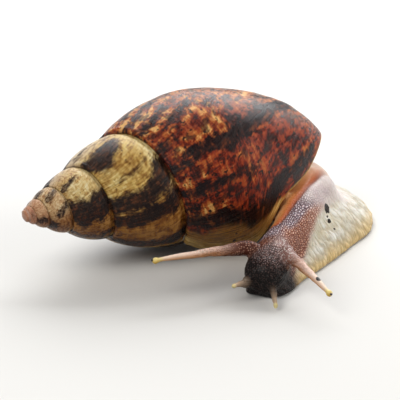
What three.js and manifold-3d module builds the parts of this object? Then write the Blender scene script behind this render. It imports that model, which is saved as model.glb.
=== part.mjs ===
// A giant african land snail at life size, crawling, with its body bent round under the shell.
// Millimetres, +Z up, the sole on z = 0. The head looks towards -Y and the apex points to -X.
// The soft body is modelled whole and then parted by thin cuts into the pieces that have names.
import * as THREE from 'three';
import { mergeVertices } from 'three/addons/utils/BufferGeometryUtils.js';
import Module from 'manifold-3d';

const wasm = await Module();
wasm.setup();

// ---------------------------------------------------------------------------------------------
// Driving dimensions
// ---------------------------------------------------------------------------------------------

// Shell: a right-handed spiral that grows by two constant ratios for each turn.
const SHELL_LENGTH = 110;          // apex to the base of the aperture
const RADIAL_GROWTH = 1.627;       // how much wider each whorl is than the one before
const AXIAL_GROWTH = 1.833;        // how much longer each whorl is than the one before
const SUTURE_RADIUS = 20.4;        // radius at which the last whorl leaves the one before, at the lip
const SUTURE_HEIGHT = 46.7;        // distance of that point from the apex, along the axis
const BASE_RADIUS = 3.5;           // radius of the columella at the base
const BASE_RISE = 0.176;           // part of the length by which the base is higher one turn back
const LAST_BULGE = 0.667;          // swelling of the last whorl at the lip, as part of a full turn's growth
const SHOULDER_SLOPE = 42.7;       // degrees between the whorl's shoulder and the plane across the axis
const WHORLS = 6.5;                // turns between the lip and the first, smooth whorl
const NUCLEUS_RADIUS = 1.4;        // rounded first whorl
const NUCLEUS_HEIGHT = 2.3;        // its middle, from the point at which the spiral would end
const PERIPHERY = 0.42;            // where the widest line lies, from 0 at the suture to 1 at the base
const SHOULDER_HANDLE = 0.282;     // how far the shoulder runs straight, as part of its width
const SHOULDER_DROP = 0.22;        // where the shoulder turns along the axis, from 0 wide line to 1 suture
const BASE_FULLNESS = 0.516;       // how full the base is, from 0 columella to 1 wide line
const FLANK_LENGTH = 0.3525;       // how far the flank keeps its width, from 0 wide line to 1 base
const LIP_SWEEP = 0.257;           // part of a turn by which the lip lags behind at the base
const PILLAR_RADIUS = 2;           // solid middle of the columella, at the base
const PILLAR_TOP_RADIUS = 0.5;     // the same, at the apex
const CORE_RADIUS = 0.3;           // hole that the half turns leave round the axis, filled by the pillar
const COIL_LINES = 11;             // steps across a whorl, from the suture to the base
const WALL = 1.2;                  // thickness of the shell at the aperture
const ROOM_STEP = 1 / 30;          // turns between the sections of the aperture's hollow
const ROOM_STEPS = 4;              // sections by which the aperture's hollow runs back
const ROOM_START = 0.07;           // where the hollow begins and ends, from 0 suture to 1 base
const ROOM_END = 0.88;
const ROOM_LEAST = 0.4;            // least depth of the hollow in its narrow corners

// Where the shell is carried.
const APEX = new THREE.Vector3(-51.9, -1.7, 20.6);
const AXIS_AZIMUTH = 34.8;         // degrees from +X towards +Y
const AXIS_PITCH = 2.4;            // degrees by which the base is carried higher than the apex
const LIP_ANGLE = 39.5;            // place of the lip's suture, degrees from straight down to the near side

// Soft body.
const COLLAR_SET_BACK = 0.003;     // turns by which the mantle collar sits behind the lip
const GAP = 0.3;                   // thin cuts between neighbouring pieces
const SHELL_CLEARANCE = 0.4;       // between the shell and the flesh that leaves it
const FOOT_LINE = 6.6;             // height of the groove between the foot and the body above it
const FOOT_EDGE = 0.35;            // thickness of the foot's margin
const FOOT_ROUND = 2.1;            // exponents of the foot's section: how broad its back is
const FOOT_FULL = 0.8;             // and how full its flanks are
const LEAST_LIFT = 0.6;            // lowest that the neck and head reach above the ground
const HEADING = -113;              // direction in which the head looks, degrees from +X
const EYE_RADIUS = 0.35;
const KNOB_RADIUS = 0.9;           // rounded tip of each upper tentacle, which carries the eye

// ---------------------------------------------------------------------------------------------
// Solids
// ---------------------------------------------------------------------------------------------

const radians = THREE.MathUtils.degToRad;

// Turns a closed three.js geometry into a solid that can be joined and cut.
function solidOf(geometry) {
  const bare = geometry.clone();
  bare.deleteAttribute('normal');
  bare.deleteAttribute('uv');
  const merged = mergeVertices(bare, 1e-5);
  const places = merged.getAttribute('position').array;
  const corners = Uint32Array.from(merged.getIndex().array);
  const vertex = (i) => new THREE.Vector3().fromArray(places, 3 * i);
  const kept = [];
  let volume = 0;
  for (let i = 0; i < corners.length; i += 3) {
    const [a, b, c] = [corners[i], corners[i + 1], corners[i + 2]];
    if (a === b || b === c || c === a) continue;
    kept.push(a, b, c);
    volume += vertex(a).dot(vertex(b).cross(vertex(c)));
  }
  if (volume < 0) kept.reverse();
  const mesh = new wasm.Mesh({
    numProp: 3,
    vertProperties: Float32Array.from(places),
    triVerts: Uint32Array.from(kept),
  });
  return new wasm.Manifold(mesh);
}

// Drops the crumbs that a cut can leave.
function largest(solid) {
  return solid.decompose().reduce((best, piece) => (piece.volume() > best.volume() ? piece : best));
}

function geometryOf(solid) {
  const mesh = solid.getMesh();
  const geometry = new THREE.BufferGeometry();
  geometry.setAttribute('position', new THREE.BufferAttribute(mesh.vertProperties, 3));
  geometry.setIndex(new THREE.BufferAttribute(mesh.triVerts, 1));
  geometry.computeVertexNormals();
  return geometry;
}

// A closed tube of any section: place(t, side) gives the vertex of a ring, t from 0 to 1 along the
// tube, and middle(t) gives the point in which the end faces meet.
function tube(rings, sides, place, middle) {
  const geometry = new THREE.CylinderGeometry(1, 1, 1, sides, rings);
  const spots = geometry.getAttribute('position');
  for (let i = 0; i < spots.count; i += 1) {
    const t = 0.5 - spots.getY(i);
    const turn = Math.atan2(spots.getX(i), spots.getZ(i)) / (2 * Math.PI);
    const side = (Math.round(turn * sides) + sides) % sides;
    const onAxis = Math.hypot(spots.getX(i), spots.getZ(i)) < 1e-6;
    const spot = onAxis ? middle(t) : place(t, side);
    spots.setXYZ(i, spot.x, spot.y, spot.z);
  }
  return solidOf(geometry);
}

// Everything on one side of an upright or level plane, held back by half a cut.
function halfSpace(point, direction) {
  const size = 400;
  const geometry = new THREE.BoxGeometry(size, size, size);
  const normal = direction.clone().normalize();
  geometry.translate(0, 0, size / 2 + GAP / 2);
  geometry.applyQuaternion(new THREE.Quaternion().setFromUnitVectors(new THREE.Vector3(0, 0, 1), normal));
  geometry.translate(point.x, point.y, point.z);
  return solidOf(geometry);
}

const inPlan = (degrees) => new THREE.Vector3(Math.cos(radians(degrees)), Math.sin(radians(degrees)), 0);

// ---------------------------------------------------------------------------------------------
// Shell
// ---------------------------------------------------------------------------------------------

const axis = inPlan(AXIS_AZIMUTH).multiplyScalar(Math.cos(radians(AXIS_PITCH)));
axis.z = Math.sin(radians(AXIS_PITCH));
const straightDown = new THREE.Vector3(0, 0, -1).addScaledVector(axis, axis.z).normalize();
const nearSide = new THREE.Vector3().crossVectors(straightDown, axis).normalize();

const mix = THREE.MathUtils.lerp;
const limit = THREE.MathUtils.clamp;

function bezier(a, b, c, d, t) {
  const s = 1 - t;
  return s * s * s * a + 3 * s * s * t * b + 3 * s * t * t * c + t * t * t * d;
}

// Radius and height of the whorl's outer line: `back` turns before the lip, `across` from 0 at the
// suture to 1 at the base.
function whorl(back, across) {
  const sutureRadius = SUTURE_RADIUS * RADIAL_GROWTH ** -back;
  const sutureHeight = SUTURE_HEIGHT * AXIAL_GROWTH ** -back;
  const swelling = mix(LAST_BULGE, 1, THREE.MathUtils.smoothstep(back, 0, 1));
  const wideRadius = sutureRadius * (1 + (RADIAL_GROWTH - 1) * swelling);
  const wideHeight = sutureHeight * (1 + (AXIAL_GROWTH - 1) * swelling);
  const lastTurn = limit(back, 0, 1);
  const baseHeight = SHELL_LENGTH * (1 - BASE_RISE * lastTurn) * AXIAL_GROWTH ** (lastTurn - back);
  const baseRadius = BASE_RADIUS * RADIAL_GROWTH ** -back;
  const reach = SHOULDER_HANDLE * Math.hypot(wideRadius - sutureRadius, wideHeight - sutureHeight);
  const slope = radians(SHOULDER_SLOPE);
  if (across < PERIPHERY) {
    const t = across / PERIPHERY;
    return {
      radius: bezier(sutureRadius, sutureRadius + reach * Math.cos(slope), wideRadius, wideRadius, t),
      height: bezier(sutureHeight, sutureHeight + reach * Math.sin(slope),
        mix(wideHeight, sutureHeight, SHOULDER_DROP), wideHeight, t),
    };
  }
  const t = (across - PERIPHERY) / (1 - PERIPHERY);
  return {
    radius: bezier(wideRadius, wideRadius, mix(baseRadius, wideRadius, BASE_FULLNESS), baseRadius, t),
    height: bezier(wideHeight, mix(wideHeight, baseHeight, FLANK_LENGTH), baseHeight, baseHeight, t),
  };
}

// How far the growth lines lag behind, in turns.
const sweep = (across) => LIP_SWEEP * across ** 1.5;

function onShell(back, radius, height) {
  const angle = radians(LIP_ANGLE) + 2 * Math.PI * back;
  return APEX.clone()
    .addScaledVector(axis, height)
    .addScaledVector(straightDown, radius * Math.cos(angle))
    .addScaledVector(nearSide, radius * Math.sin(angle));
}

// Half a turn of the whorl as a solid wedge that reaches in to the axis; `grown` thickens it.
function halfTurn(from, to, rings, grown) {
  const sides = COIL_LINES + 3;
  const place = (t, side) => {
    const across = limit(side - 1, 0, COIL_LINES) / COIL_LINES;
    const back = mix(from, to, t) + sweep(across);
    const spot = whorl(back, across);
    const outer = spot.radius + grown;
    const inner = Math.min(CORE_RADIUS, outer / 3);
    const rise = grown * THREE.MathUtils.smoothstep(across, PERIPHERY, 1);
    return onShell(back, side === 0 || side === sides - 1 ? inner : outer, spot.height + rise);
  };
  const middle = (t) => {
    const sum = new THREE.Vector3();
    for (let side = 0; side < sides; side += 1) sum.addScaledVector(place(t, side), 1 / sides);
    return sum;
  };
  return tube(rings, sides, place, middle);
}

// The whole coil, filled. It starts `ahead` turns in front of the lip.
function coil(ahead, grown) {
  const parts = [];
  const halves = Math.ceil(2 * WHORLS);
  for (let half = 0; half < halves; half += 1) {
    const from = half === 0 ? -ahead : half / 2;
    const rings = Math.max(6, 20 - 2 * half);
    parts.push(halfTurn(from, (half + 1) / 2, rings, grown));
  }
  const nucleus = new THREE.SphereGeometry(NUCLEUS_RADIUS + grown, 12, 8);
  const centre = onShell(0, 0, NUCLEUS_HEIGHT);
  nucleus.translate(centre.x, centre.y, centre.z);
  parts.push(solidOf(nucleus));
  const pillar = new THREE.CylinderGeometry(PILLAR_RADIUS, PILLAR_TOP_RADIUS, 0.9 * SHELL_LENGTH, 8, 1);
  pillar.applyQuaternion(new THREE.Quaternion().setFromUnitVectors(new THREE.Vector3(0, 1, 0), axis));
  const pillarMiddle = onShell(0, 0, 0.48 * SHELL_LENGTH);
  pillar.translate(pillarMiddle.x, pillarMiddle.y, pillarMiddle.z);
  parts.push(solidOf(pillar));
  return largest(parts.reduce((whole, part) => whole.add(part)));
}

// Radius of a whorl's outer line between its widest line and its base, at a height on the axis.
function radiusAt(back, height) {
  let above = PERIPHERY;
  let below = 1;
  for (let i = 0; i < 24; i += 1) {
    const across = (above + below) / 2;
    if (whorl(back, across).height < height) above = across;
    else below = across;
  }
  return whorl(back, above).radius;
}

// The room inside the last whorl, `inset` within its outer face and clear of the whorl before it.
// `skipped` lines are left out at the narrow corners by the suture and the base.
function room(from, to, rings, inset, skipped) {
  const lines = COIL_LINES - 2 * skipped;
  const sides = 2 * (lines + 1);
  const spotAt = (t, line, inner) => {
    const across = mix(ROOM_START, ROOM_END, (line + skipped) / COIL_LINES);
    const back = mix(from, to, t) + sweep(across);
    const outside = whorl(back, across);
    const height = outside.height - inset * THREE.MathUtils.smoothstep(across, PERIPHERY, 1);
    const within = radiusAt(back + 1, height) + inset;
    const without = Math.max(outside.radius - inset, within + ROOM_LEAST);
    return onShell(back, inner ? within : without, height);
  };
  const place = (t, side) => (side <= lines
    ? spotAt(t, side, false)
    : spotAt(t, sides - 1 - side, true));
  const middle = (t) => spotAt(t, 4, false).lerp(spotAt(t, 4, true), 0.5);
  return tube(rings, sides, place, middle);
}

function makeShell() {
  return largest(coil(0, 0).subtract(room(-ROOM_STEP, ROOM_STEPS * ROOM_STEP, ROOM_STEPS + 1, WALL, 0)));
}

function makeMantleCollar() {
  return room(COLLAR_SET_BACK, 2 * ROOM_STEP, 2, WALL + 1.5 * GAP, 1);
}

// ---------------------------------------------------------------------------------------------
// Soft body, in stations along a spine: at = [x, y, z] of the middle of the section's base line,
// left and right = half widths as the animal has them, up = height, down = depth below.
// ---------------------------------------------------------------------------------------------

const FOOT = [
  { at: [17.2, -12.5, 0], left: 4.5, right: 5.0, up: 3.5 },
  { at: [19.8, -7.0, 0], left: 7.5, right: 7.0, up: 6.0 },
  { at: [23.3, 1.5, 0], left: 7.6, right: 8.0, up: 8.0 },
  { at: [27.3, 10.5, 0], left: 9.0, right: 9.0, up: 9.5 },
  { at: [32.0, 21.0, 0], left: 10.3, right: 10.0, up: 10.5 },
  { at: [37.0, 32.5, 0], left: 11.3, right: 10.5, up: 11.5 },
  { at: [40.8, 45.5, 0], left: 14.2, right: 10.0, up: 10.6 },
  { at: [36.5, 58.0, 0], left: 16.5, right: 10.5, up: 10.0 },
  { at: [20.0, 60.5, 0], left: 12.0, right: 11.0, up: 9.5 },
  { at: [2.0, 57.5, 0], left: 10.5, right: 10.0, up: 7.5 },
  { at: [-20.0, 57.5, 0], left: 7.5, right: 7.5, up: 5.5 },
  { at: [-43.0, 57.0, 0], left: 1.2, right: 1.2, up: 1.4 },
];

const NECK = [
  { at: [31.0, 41.0, 13.0], left: 11.5, right: 8.0, up: 9.0, down: 9.0 },
  { at: [31.6, 31.0, 12.0], left: 9.4, right: 7.0, up: 8.4, down: 9.0 },
  { at: [29.2, 20.0, 10.0], left: 7.2, right: 6.0, up: 7.7, down: 7.0 },
  { at: [25.2, 9.0, 8.5], left: 5.8, right: 5.6, up: 7.2, down: 6.0 },
  { at: [21.8, 0.0, 7.8], left: 6.0, right: 5.8, up: 6.8, down: 5.5 },
  { at: [20.2, -7.0, 7.3], left: 6.6, right: 6.2, up: 6.8, down: 5.5 },
  { at: [18.6, -12.5, 6.4], left: 6.6, right: 6.0, up: 6.0, down: 5.2 },
  { at: [17.4, -15.5, 5.2], left: 4.2, right: 4.0, up: 3.8, down: 3.9 },
];

// The body where it rises into the shell: an egg on end, and a flatter one that widens its foot.
const TRUNK_EGGS = [
  { centre: [29.8, 41, 10.2], radii: [13.4, 13, 13.6] },
  { centre: [31.0, 44.5, 5], radii: [16.3, 15.5, 9.3] },
];

function spineOf(stations) {
  return new THREE.CatmullRomCurve3(stations.map((station) => new THREE.Vector3(...station.at)));
}

// A size between the stations, on the same smooth run as the spine.
function sizeAt(stations, name, t) {
  const points = stations.map((station) => new THREE.Vector3(station[name], 0, 0));
  return new THREE.CatmullRomCurve3(points).getPoint(t).x;
}

// The foot: flat below, with a thin margin and a back that rises to its middle.
function makeFoot(rings, sides) {
  const spine = spineOf(FOOT);
  const place = (t, side) => {
    const centre = spine.getPoint(t);
    const ahead = spine.getTangent(t);
    const across = new THREE.Vector3(-ahead.y, ahead.x, 0).normalize();
    const angle = (2 * Math.PI * side) / sides;
    const reach = Math.cos(angle);
    const width = sizeAt(FOOT, reach > 0 ? 'right' : 'left', t);
    const high = sizeAt(FOOT, 'up', t);
    const onTop = Math.sin(angle) > -1e-9;
    const shape = (1 - Math.abs(reach) ** FOOT_ROUND) ** FOOT_FULL;
    const inward = onTop ? width : width - FOOT_EDGE;
    return centre.addScaledVector(across, reach * inward)
      .setZ(onTop ? mix(FOOT_EDGE, high, shape) : 0);
  };
  return tube(rings, sides, place, (t) => spine.getPoint(t).setZ(sizeAt(FOOT, 'up', t) / 3));
}

// A round limb along a spine that lies about level; it never reaches below the sole.
function makeLimb(stations, rings, sides) {
  const spine = spineOf(stations);
  const place = (t, side) => {
    const ahead = spine.getTangent(t);
    const across = new THREE.Vector3(-ahead.y, ahead.x, 0).normalize();
    const above = new THREE.Vector3().crossVectors(across, ahead).normalize();
    if (above.z < 0) above.negate();
    const angle = (2 * Math.PI * side) / sides;
    const [reach, lift] = [Math.cos(angle), Math.sin(angle)];
    const width = sizeAt(stations, reach > 0 ? 'right' : 'left', t);
    const high = sizeAt(stations, lift > 0 ? 'up' : 'down', t);
    const spot = spine.getPoint(t)
      .addScaledVector(across, reach * width)
      .addScaledVector(above, lift * high);
    return spot.setZ(Math.max(spot.z, LEAST_LIFT));
  };
  return tube(rings, sides, place, (t) => spine.getPoint(t));
}

function makeTrunk() {
  const eggs = TRUNK_EGGS.map(({ centre, radii }) => {
    const egg = new THREE.SphereGeometry(1, 20, 14);
    egg.rotateX(Math.PI / 2);
    egg.scale(...radii);
    egg.translate(...centre);
    return solidOf(egg);
  });
  const ground = halfSpace(new THREE.Vector3(0, 0, -GAP / 2), new THREE.Vector3(0, 0, 1));
  return eggs[0].add(eggs[1]).intersect(ground);
}

// A tentacle: a slim cone between two points with a rounded knob at its tip; `grown` thickens it.
function makeTentacle({ base, tip, arch, thick, thin, knob }, grown) {
  const from = new THREE.Vector3(...base);
  const to = new THREE.Vector3(...tip);
  const waist = from.clone().lerp(to, 0.5).setZ((from.z + to.z) / 2 + arch);
  const spine = new THREE.QuadraticBezierCurve3(from, waist, to);
  const sides = 10;
  const place = (t, side) => {
    const ahead = spine.getTangent(t);
    const across = new THREE.Vector3(-ahead.y, ahead.x, 0).normalize();
    const above = new THREE.Vector3().crossVectors(across, ahead).normalize();
    const radius = mix(thin, thick, (1 - t) ** 1.6) + grown;
    const angle = (2 * Math.PI * side) / sides;
    return spine.getPoint(t)
      .addScaledVector(across, radius * Math.cos(angle))
      .addScaledVector(above, radius * Math.sin(angle));
  };
  const stalk = tube(9, sides, place, (t) => spine.getPoint(t));
  const ball = new THREE.SphereGeometry(knob + grown, 10, 7);
  ball.translate(to.x, to.y, to.z);
  return stalk.add(solidOf(ball));
}

const TENTACLES = {
  upper_tentacle_left: {
    base: [24.2, -5.5, 11.8], tip: [36.3, -28.5, 7.6], arch: 0.8, thick: 2.0, thin: 0.72, knob: KNOB_RADIUS,
  },
  upper_tentacle_right: {
    base: [16.0, -4.5, 12.2], tip: [-13.0, -16.0, 12.6], arch: 0.8, thick: 2.1, thin: 0.6, knob: KNOB_RADIUS,
  },
  lower_tentacle_left: {
    base: [20.8, -14.0, 4.0], tip: [21.4, -23.0, 1.3], arch: 0.5, thick: 1.3, thin: 0.6, knob: 0.75,
  },
  lower_tentacle_right: {
    base: [15.0, -13.0, 4.8], tip: [9.2, -18.2, 5.8], arch: 0.2, thick: 1.3, thin: 0.6, knob: 0.75,
  },
};

// An eye: a small dark bead that sits in the end of the knob, looking out and up.
function makeEye({ base, tip }, grown) {
  const outward = new THREE.Vector3(...tip).sub(new THREE.Vector3(...base)).normalize();
  outward.z += 0.45;
  outward.normalize();
  const centre = new THREE.Vector3(...tip).addScaledVector(outward, KNOB_RADIUS - 0.5 * EYE_RADIUS);
  const bead = new THREE.SphereGeometry(EYE_RADIUS + grown, 8, 6);
  bead.translate(centre.x, centre.y, centre.z);
  return solidOf(bead);
}

// ---------------------------------------------------------------------------------------------
// Parting the body
// ---------------------------------------------------------------------------------------------

const heading = inPlan(HEADING);
const shellWithClearance = coil(COLLAR_SET_BACK, SHELL_CLEARANCE);
const body = largest(makeFoot(40, 18)
  .add(makeLimb(NECK, 18, 16))
  .add(makeTrunk())
  .subtract(shellWithClearance));

const headPlane = new THREE.Vector3(22.6, -3.5, 0);
const trunkPlane = new THREE.Vector3(33.0, 23.0, 0);
const trunkAhead = inPlan(70);
const level = new THREE.Vector3(0, 0, FOOT_LINE);
const up = new THREE.Vector3(0, 0, 1);
const down = new THREE.Vector3(0, 0, -1);
const tailPlane = new THREE.Vector3(14.0, 60.0, 0);
const tailAhead = new THREE.Vector3(-1, 0, 0);
const farHalf = new THREE.Vector3(0, 44.0, 0);

const towardsTail = heading.clone().negate();
const behindHead = body.intersect(halfSpace(headPlane, towardsTail));
const tailRegion = halfSpace(tailPlane, tailAhead).intersect(halfSpace(farHalf, new THREE.Vector3(0, 1, 0)));
const tailCut = halfSpace(tailPlane.clone().setX(tailPlane.x + GAP), tailAhead)
  .intersect(halfSpace(farHalf.clone().setY(farHalf.y - GAP), new THREE.Vector3(0, 1, 0)));
const withoutTail = behindHead.subtract(tailCut);
const frontOfTrunk = withoutTail.intersect(halfSpace(trunkPlane, trunkAhead.clone().negate()));
const atTrunk = withoutTail.intersect(halfSpace(trunkPlane, trunkAhead));

const solids = {
  shell: makeShell(),
  mantle_collar: makeMantleCollar(),
  head: body.intersect(halfSpace(headPlane, heading)),
  neck: frontOfTrunk.intersect(halfSpace(level, up)),
  trunk: atTrunk.intersect(halfSpace(level, up)),
  foot_front: frontOfTrunk.intersect(halfSpace(level, down)),
  foot_middle: atTrunk.intersect(halfSpace(level, down)),
  tail: behindHead.intersect(tailRegion),
};

for (const [name, sizes] of Object.entries(TENTACLES)) {
  solids.head = solids.head.subtract(makeTentacle(sizes, GAP));
  solids[name] = makeTentacle(sizes, 0);
}
for (const side of ['left', 'right']) {
  const stalk = `upper_tentacle_${side}`;
  solids[stalk] = solids[stalk].subtract(makeEye(TENTACLES[stalk], GAP / 3));
  solids[`eye_${side}`] = makeEye(TENTACLES[stalk], 0);
}

// ---------------------------------------------------------------------------------------------
// Scene graph
// ---------------------------------------------------------------------------------------------

const COLOURS = {
  shell: [0x6b3d22, 0.38],
  mantle_collar: [0xa0603c, 0.45],
  head: [0x3a2420, 0.5],
  neck: [0x8a5f50, 0.5],
  trunk: [0xa07f78, 0.5],
  foot: [0xcdbb94, 0.5],
  tail: [0xc4b08c, 0.5],
  upper: [0x9a6f5c, 0.5],
  lower: [0xa58468, 0.5],
  eye: [0x17110f, 0.15],
};

const group = new THREE.Group();
for (const [name, solid] of Object.entries(solids)) {
  const [colour, roughness] = COLOURS[name] ?? COLOURS[name.split('_')[0]];
  const material = new THREE.MeshStandardMaterial({ color: colour, roughness, metalness: 0 });
  const mesh = new THREE.Mesh(geometryOf(solid), material);
  mesh.name = name;
  group.add(mesh);
}

// The origin is on the ground, under the middle of the whole animal.
const box = new THREE.Box3().setFromObject(group);
group.position.x = -(box.min.x + box.max.x) / 2;
group.position.y = -(box.min.y + box.max.y) / 2;

export default group;
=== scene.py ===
# %% [markdown]
# # A giant african land snail, life size
#
# The part made in CAD is loaded first and stays where it is.
# It gives the size and place of everything; here each plain solid gets a finished piece in its place.
# All lengths are metres, +Z is up, and the sole rests on z = 0.

# %% Load the frame
import math

import bpy
import numpy as np
from mathutils import Matrix, Vector


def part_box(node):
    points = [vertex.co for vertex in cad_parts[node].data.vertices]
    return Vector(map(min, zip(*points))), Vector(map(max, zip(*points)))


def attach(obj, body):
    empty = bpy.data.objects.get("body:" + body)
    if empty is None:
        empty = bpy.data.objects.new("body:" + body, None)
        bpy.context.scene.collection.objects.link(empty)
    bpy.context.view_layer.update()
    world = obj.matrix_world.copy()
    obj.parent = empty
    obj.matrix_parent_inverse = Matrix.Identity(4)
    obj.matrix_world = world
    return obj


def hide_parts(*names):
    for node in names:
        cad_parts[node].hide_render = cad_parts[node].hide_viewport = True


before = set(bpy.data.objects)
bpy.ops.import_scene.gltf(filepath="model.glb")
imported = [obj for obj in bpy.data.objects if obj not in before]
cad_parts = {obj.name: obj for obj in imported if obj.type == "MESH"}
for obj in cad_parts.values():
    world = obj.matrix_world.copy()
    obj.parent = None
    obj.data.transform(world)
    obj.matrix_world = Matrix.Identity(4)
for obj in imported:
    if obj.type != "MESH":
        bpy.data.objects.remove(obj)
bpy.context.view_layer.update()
MM = 0.001


# %% [markdown]
# ## Where things are
#
# The shell is a spiral, so it is easiest to describe from its apex, along its axis.
# The CAD shell's box gives the apex: it sits a known step inside the box's lowest corner.
# `HOME` is the point from which the body's stations are measured.

# %% Reference points
SHELL_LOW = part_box("shell")[0]
APEX = np.array(SHELL_LOW) + np.array([-0.410, 0.247, 19.261]) * MM
HOME = APEX - np.array([-51.9, -1.7, 20.6]) * MM
print("apex at", np.round(APEX, 5), "home at", np.round(HOME, 5))


def at(x, y, z=0.0):
    """A point given in millimetres from HOME."""
    return HOME + np.array([x, y, z]) * MM


# %% [markdown]
# ## Camera
#
# The snail is seen from a little above, from about 60 cm, with a long lens.
# A long lens keeps the shell's proportions true: near and far parts are drawn at nearly one scale.

# %% Camera
CAMERA_PLACE = at(0.0, -563.8, 230.4)
CAMERA_TILT = math.radians(70)
LENS = 186.6


def make_camera():
    bpy.ops.object.camera_add(location=CAMERA_PLACE, rotation=(CAMERA_TILT, 0, 0))
    camera = bpy.context.object
    camera.name = "camera"
    camera.data.lens = LENS
    camera.data.clip_start = 0.01
    bpy.context.scene.camera = camera
    print("camera at", np.round(CAMERA_PLACE, 3))


make_camera()


# %% [markdown]
# ## Mixing materials
#
# All finishes are made of a few kinds of node: noise, cells, colour ramps and mixes.
# `Mixture` adds them in a few words, so that each recipe below reads as a list of layers.

# %% Node helpers
def linear(code):
    """A written colour, such as 'c08040', as the linear colour that Blender works in."""
    channels = [int(code[i:i + 2], 16) / 255 for i in (0, 2, 4)]
    return tuple(c / 12.92 if c <= 0.04045 else ((c + 0.055) / 1.055) ** 2.4 for c in channels) + (1,)


class Mixture:
    """A material while it is being mixed. Every method gives the socket that carries its result."""

    def __init__(self, name):
        self.material = bpy.data.materials.new(name)
        self.material.use_nodes = True
        self.tree = self.material.node_tree
        self.shader = self.tree.nodes["Principled BSDF"]

    def node(self, kind, inputs, output=0, **settings):
        made = self.tree.nodes.new("ShaderNode" + kind)
        for key, value in settings.items():
            setattr(made, key, value)
        for key, value in inputs.items():
            self.fill(made.inputs[key], value)
        return made.outputs[output]

    def fill(self, socket, value):
        if isinstance(value, bpy.types.NodeSocket):
            self.tree.links.new(value, socket)
        else:
            socket.default_value = value

    def finish(self, **values):
        for key, value in values.items():
            self.fill(self.shader.inputs[key.replace("_", " ")], value)
        return self.material

    def maths(self, operation, a, b=0.0):
        return self.node("Math", {0: a, 1: b}, operation=operation)

    def plus(self, a, b):
        return self.maths("ADD", a, b)

    def minus(self, a, b):
        return self.maths("SUBTRACT", a, b)

    def times(self, a, b):
        return self.maths("MULTIPLY", a, b)

    def total(self, *layers):
        """The sum of some layers, each given with its share."""
        parts = [self.times(layer, share) for layer, share in layers]
        whole = parts[0]
        for part in parts[1:]:
            whole = self.plus(whole, part)
        return whole

    def blend(self, factor, a, b):
        return self.node("Mix", {0: factor, 2: a, 3: b}, data_type="FLOAT")

    def mix(self, factor, a, b):
        return self.node("Mix", {0: factor, 6: a, 7: b}, 2, data_type="RGBA")

    def stain(self, base, mask, share, code):
        """Lays a written colour over the base where the mask is, as strongly as the share says."""
        return self.mix(self.times(mask, share), base, linear(code))

    def between(self, value, low, high):
        """0 at `low` and 1 at `high`, with a soft change between them."""
        return self.node("MapRange", {0: value, 1: low, 2: high}, interpolation_type="SMOOTHSTEP")

    def band(self, value, start, full, ebb, end):
        """1 from `full` to `ebb`, and 0 before `start` and after `end`."""
        return self.minus(self.between(value, start, full), self.between(value, ebb, end))

    def stored(self, name):
        return self.node("Attribute", {}, "Fac", attribute_name=name)

    def grown(self, u_scale, v_scale, shift=0.0):
        """The growth coordinates, stretched so that one unit is one spot of the pattern."""
        place = self.node("UVMap", {}, uv_map="growth")
        return self.node("Mapping", {0: place, 1: (shift, shift, 0), 3: (u_scale, v_scale, 1)})

    def solid(self, scale):
        """The place in space, stretched so that one unit is one spot of the pattern."""
        place = self.node("TexCoord", {}, "Object")
        return self.node("Mapping", {0: place, 3: (scale, scale, scale)})

    def noise(self, place, detail=3.0, rough=0.55, warp=0.0):
        inputs = {"Vector": place, "Scale": 1.0, "Detail": detail, "Roughness": rough, "Distortion": warp}
        return self.node("TexNoise", inputs)

    def packed(self, place, feature, dimensions, loose):
        """Packed cells: the distance to a cell's middle (F1) or from its border (DISTANCE_TO_EDGE)."""
        inputs = {"Vector": place, "Scale": 1.0, "Randomness": loose}
        return self.node("TexVoronoi", inputs, "Distance", voronoi_dimensions=dimensions, feature=feature)

    def ramp(self, factor, *stops):
        """A colour ramp; each stop is a position and a written colour."""
        made = self.tree.nodes.new("ShaderNodeValToRGB")
        self.fill(made.inputs[0], factor)
        points = made.color_ramp.elements
        while len(points) < len(stops):
            points.new(0.5)
        for point, (position, code) in zip(points, stops):
            point.position = position
        for point, (position, code) in zip(points, stops):
            point.color = linear(code)
        return made.outputs[0]

    def bump(self, height, distance, strength=1.0):
        return self.node("Bump", {"Strength": strength, "Distance": distance, "Height": height})


# %% [markdown]
# ## Floor and light
#
# A plain pale floor carries the snail's shadow.
# It is darker for the light that it throws back up, so that the underside of the snail stays in shade.
# The light is that of an overcast day: one wide soft panel overhead and a little behind, which lays a pale
# sheen along the top of the shell, and weaker panels in front that keep the shaded side readable.

# %% Floor, backdrop and lamps
FLOOR_THROWN, FLOOR_SEEN = (0.30, 0.29, 0.27, 1), (0.70, 0.69, 0.67, 1)
FLOOR_SIZE, FLOOR_PLACE = 6, (0, 1.5, -0.0002)
WORLD_TINT, WORLD_STRENGTH = (0.93, 0.96, 1.0, 1), 0.27
COOL, WARM = (0.97, 0.985, 1.0), (1.0, 0.97, 0.92)
# Each lamp's name, place in millimetres, width and height, watts and tint.
LAMPS = [("sky_panel", (60, 540, 440), (0.8, 0.45), 7.0, COOL),
         ("front_panel", (-300, -360, 460), (0.35, 0.35), 2.2, WARM),
         ("right_panel", (480, -60, 260), (0.35, 0.35), 1.3, WARM)]


def select_only(*pieces):
    """Selects the pieces and nothing else, and makes the first one active."""
    bpy.ops.object.select_all(action="DESELECT")
    for piece in pieces:
        piece.select_set(True)
    if pieces:
        bpy.context.view_layer.objects.active = pieces[0]


def added(name):
    """The object that was just added, under its name."""
    bpy.context.object.name = name
    return bpy.context.object


def floor_material():
    m = Mixture("pale_floor")
    camera, through, mirrored = (m.node("LightPath", {}, "Is " + ray + " Ray")
                                 for ray in ("Camera", "Transmission", "Glossy"))
    seen = m.maths("MAXIMUM", m.maths("MAXIMUM", camera, through), mirrored)
    return m.finish(Base_Color=m.mix(seen, FLOOR_THROWN, FLOOR_SEEN), Roughness=0.9, Specular_IOR_Level=0.1)


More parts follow.
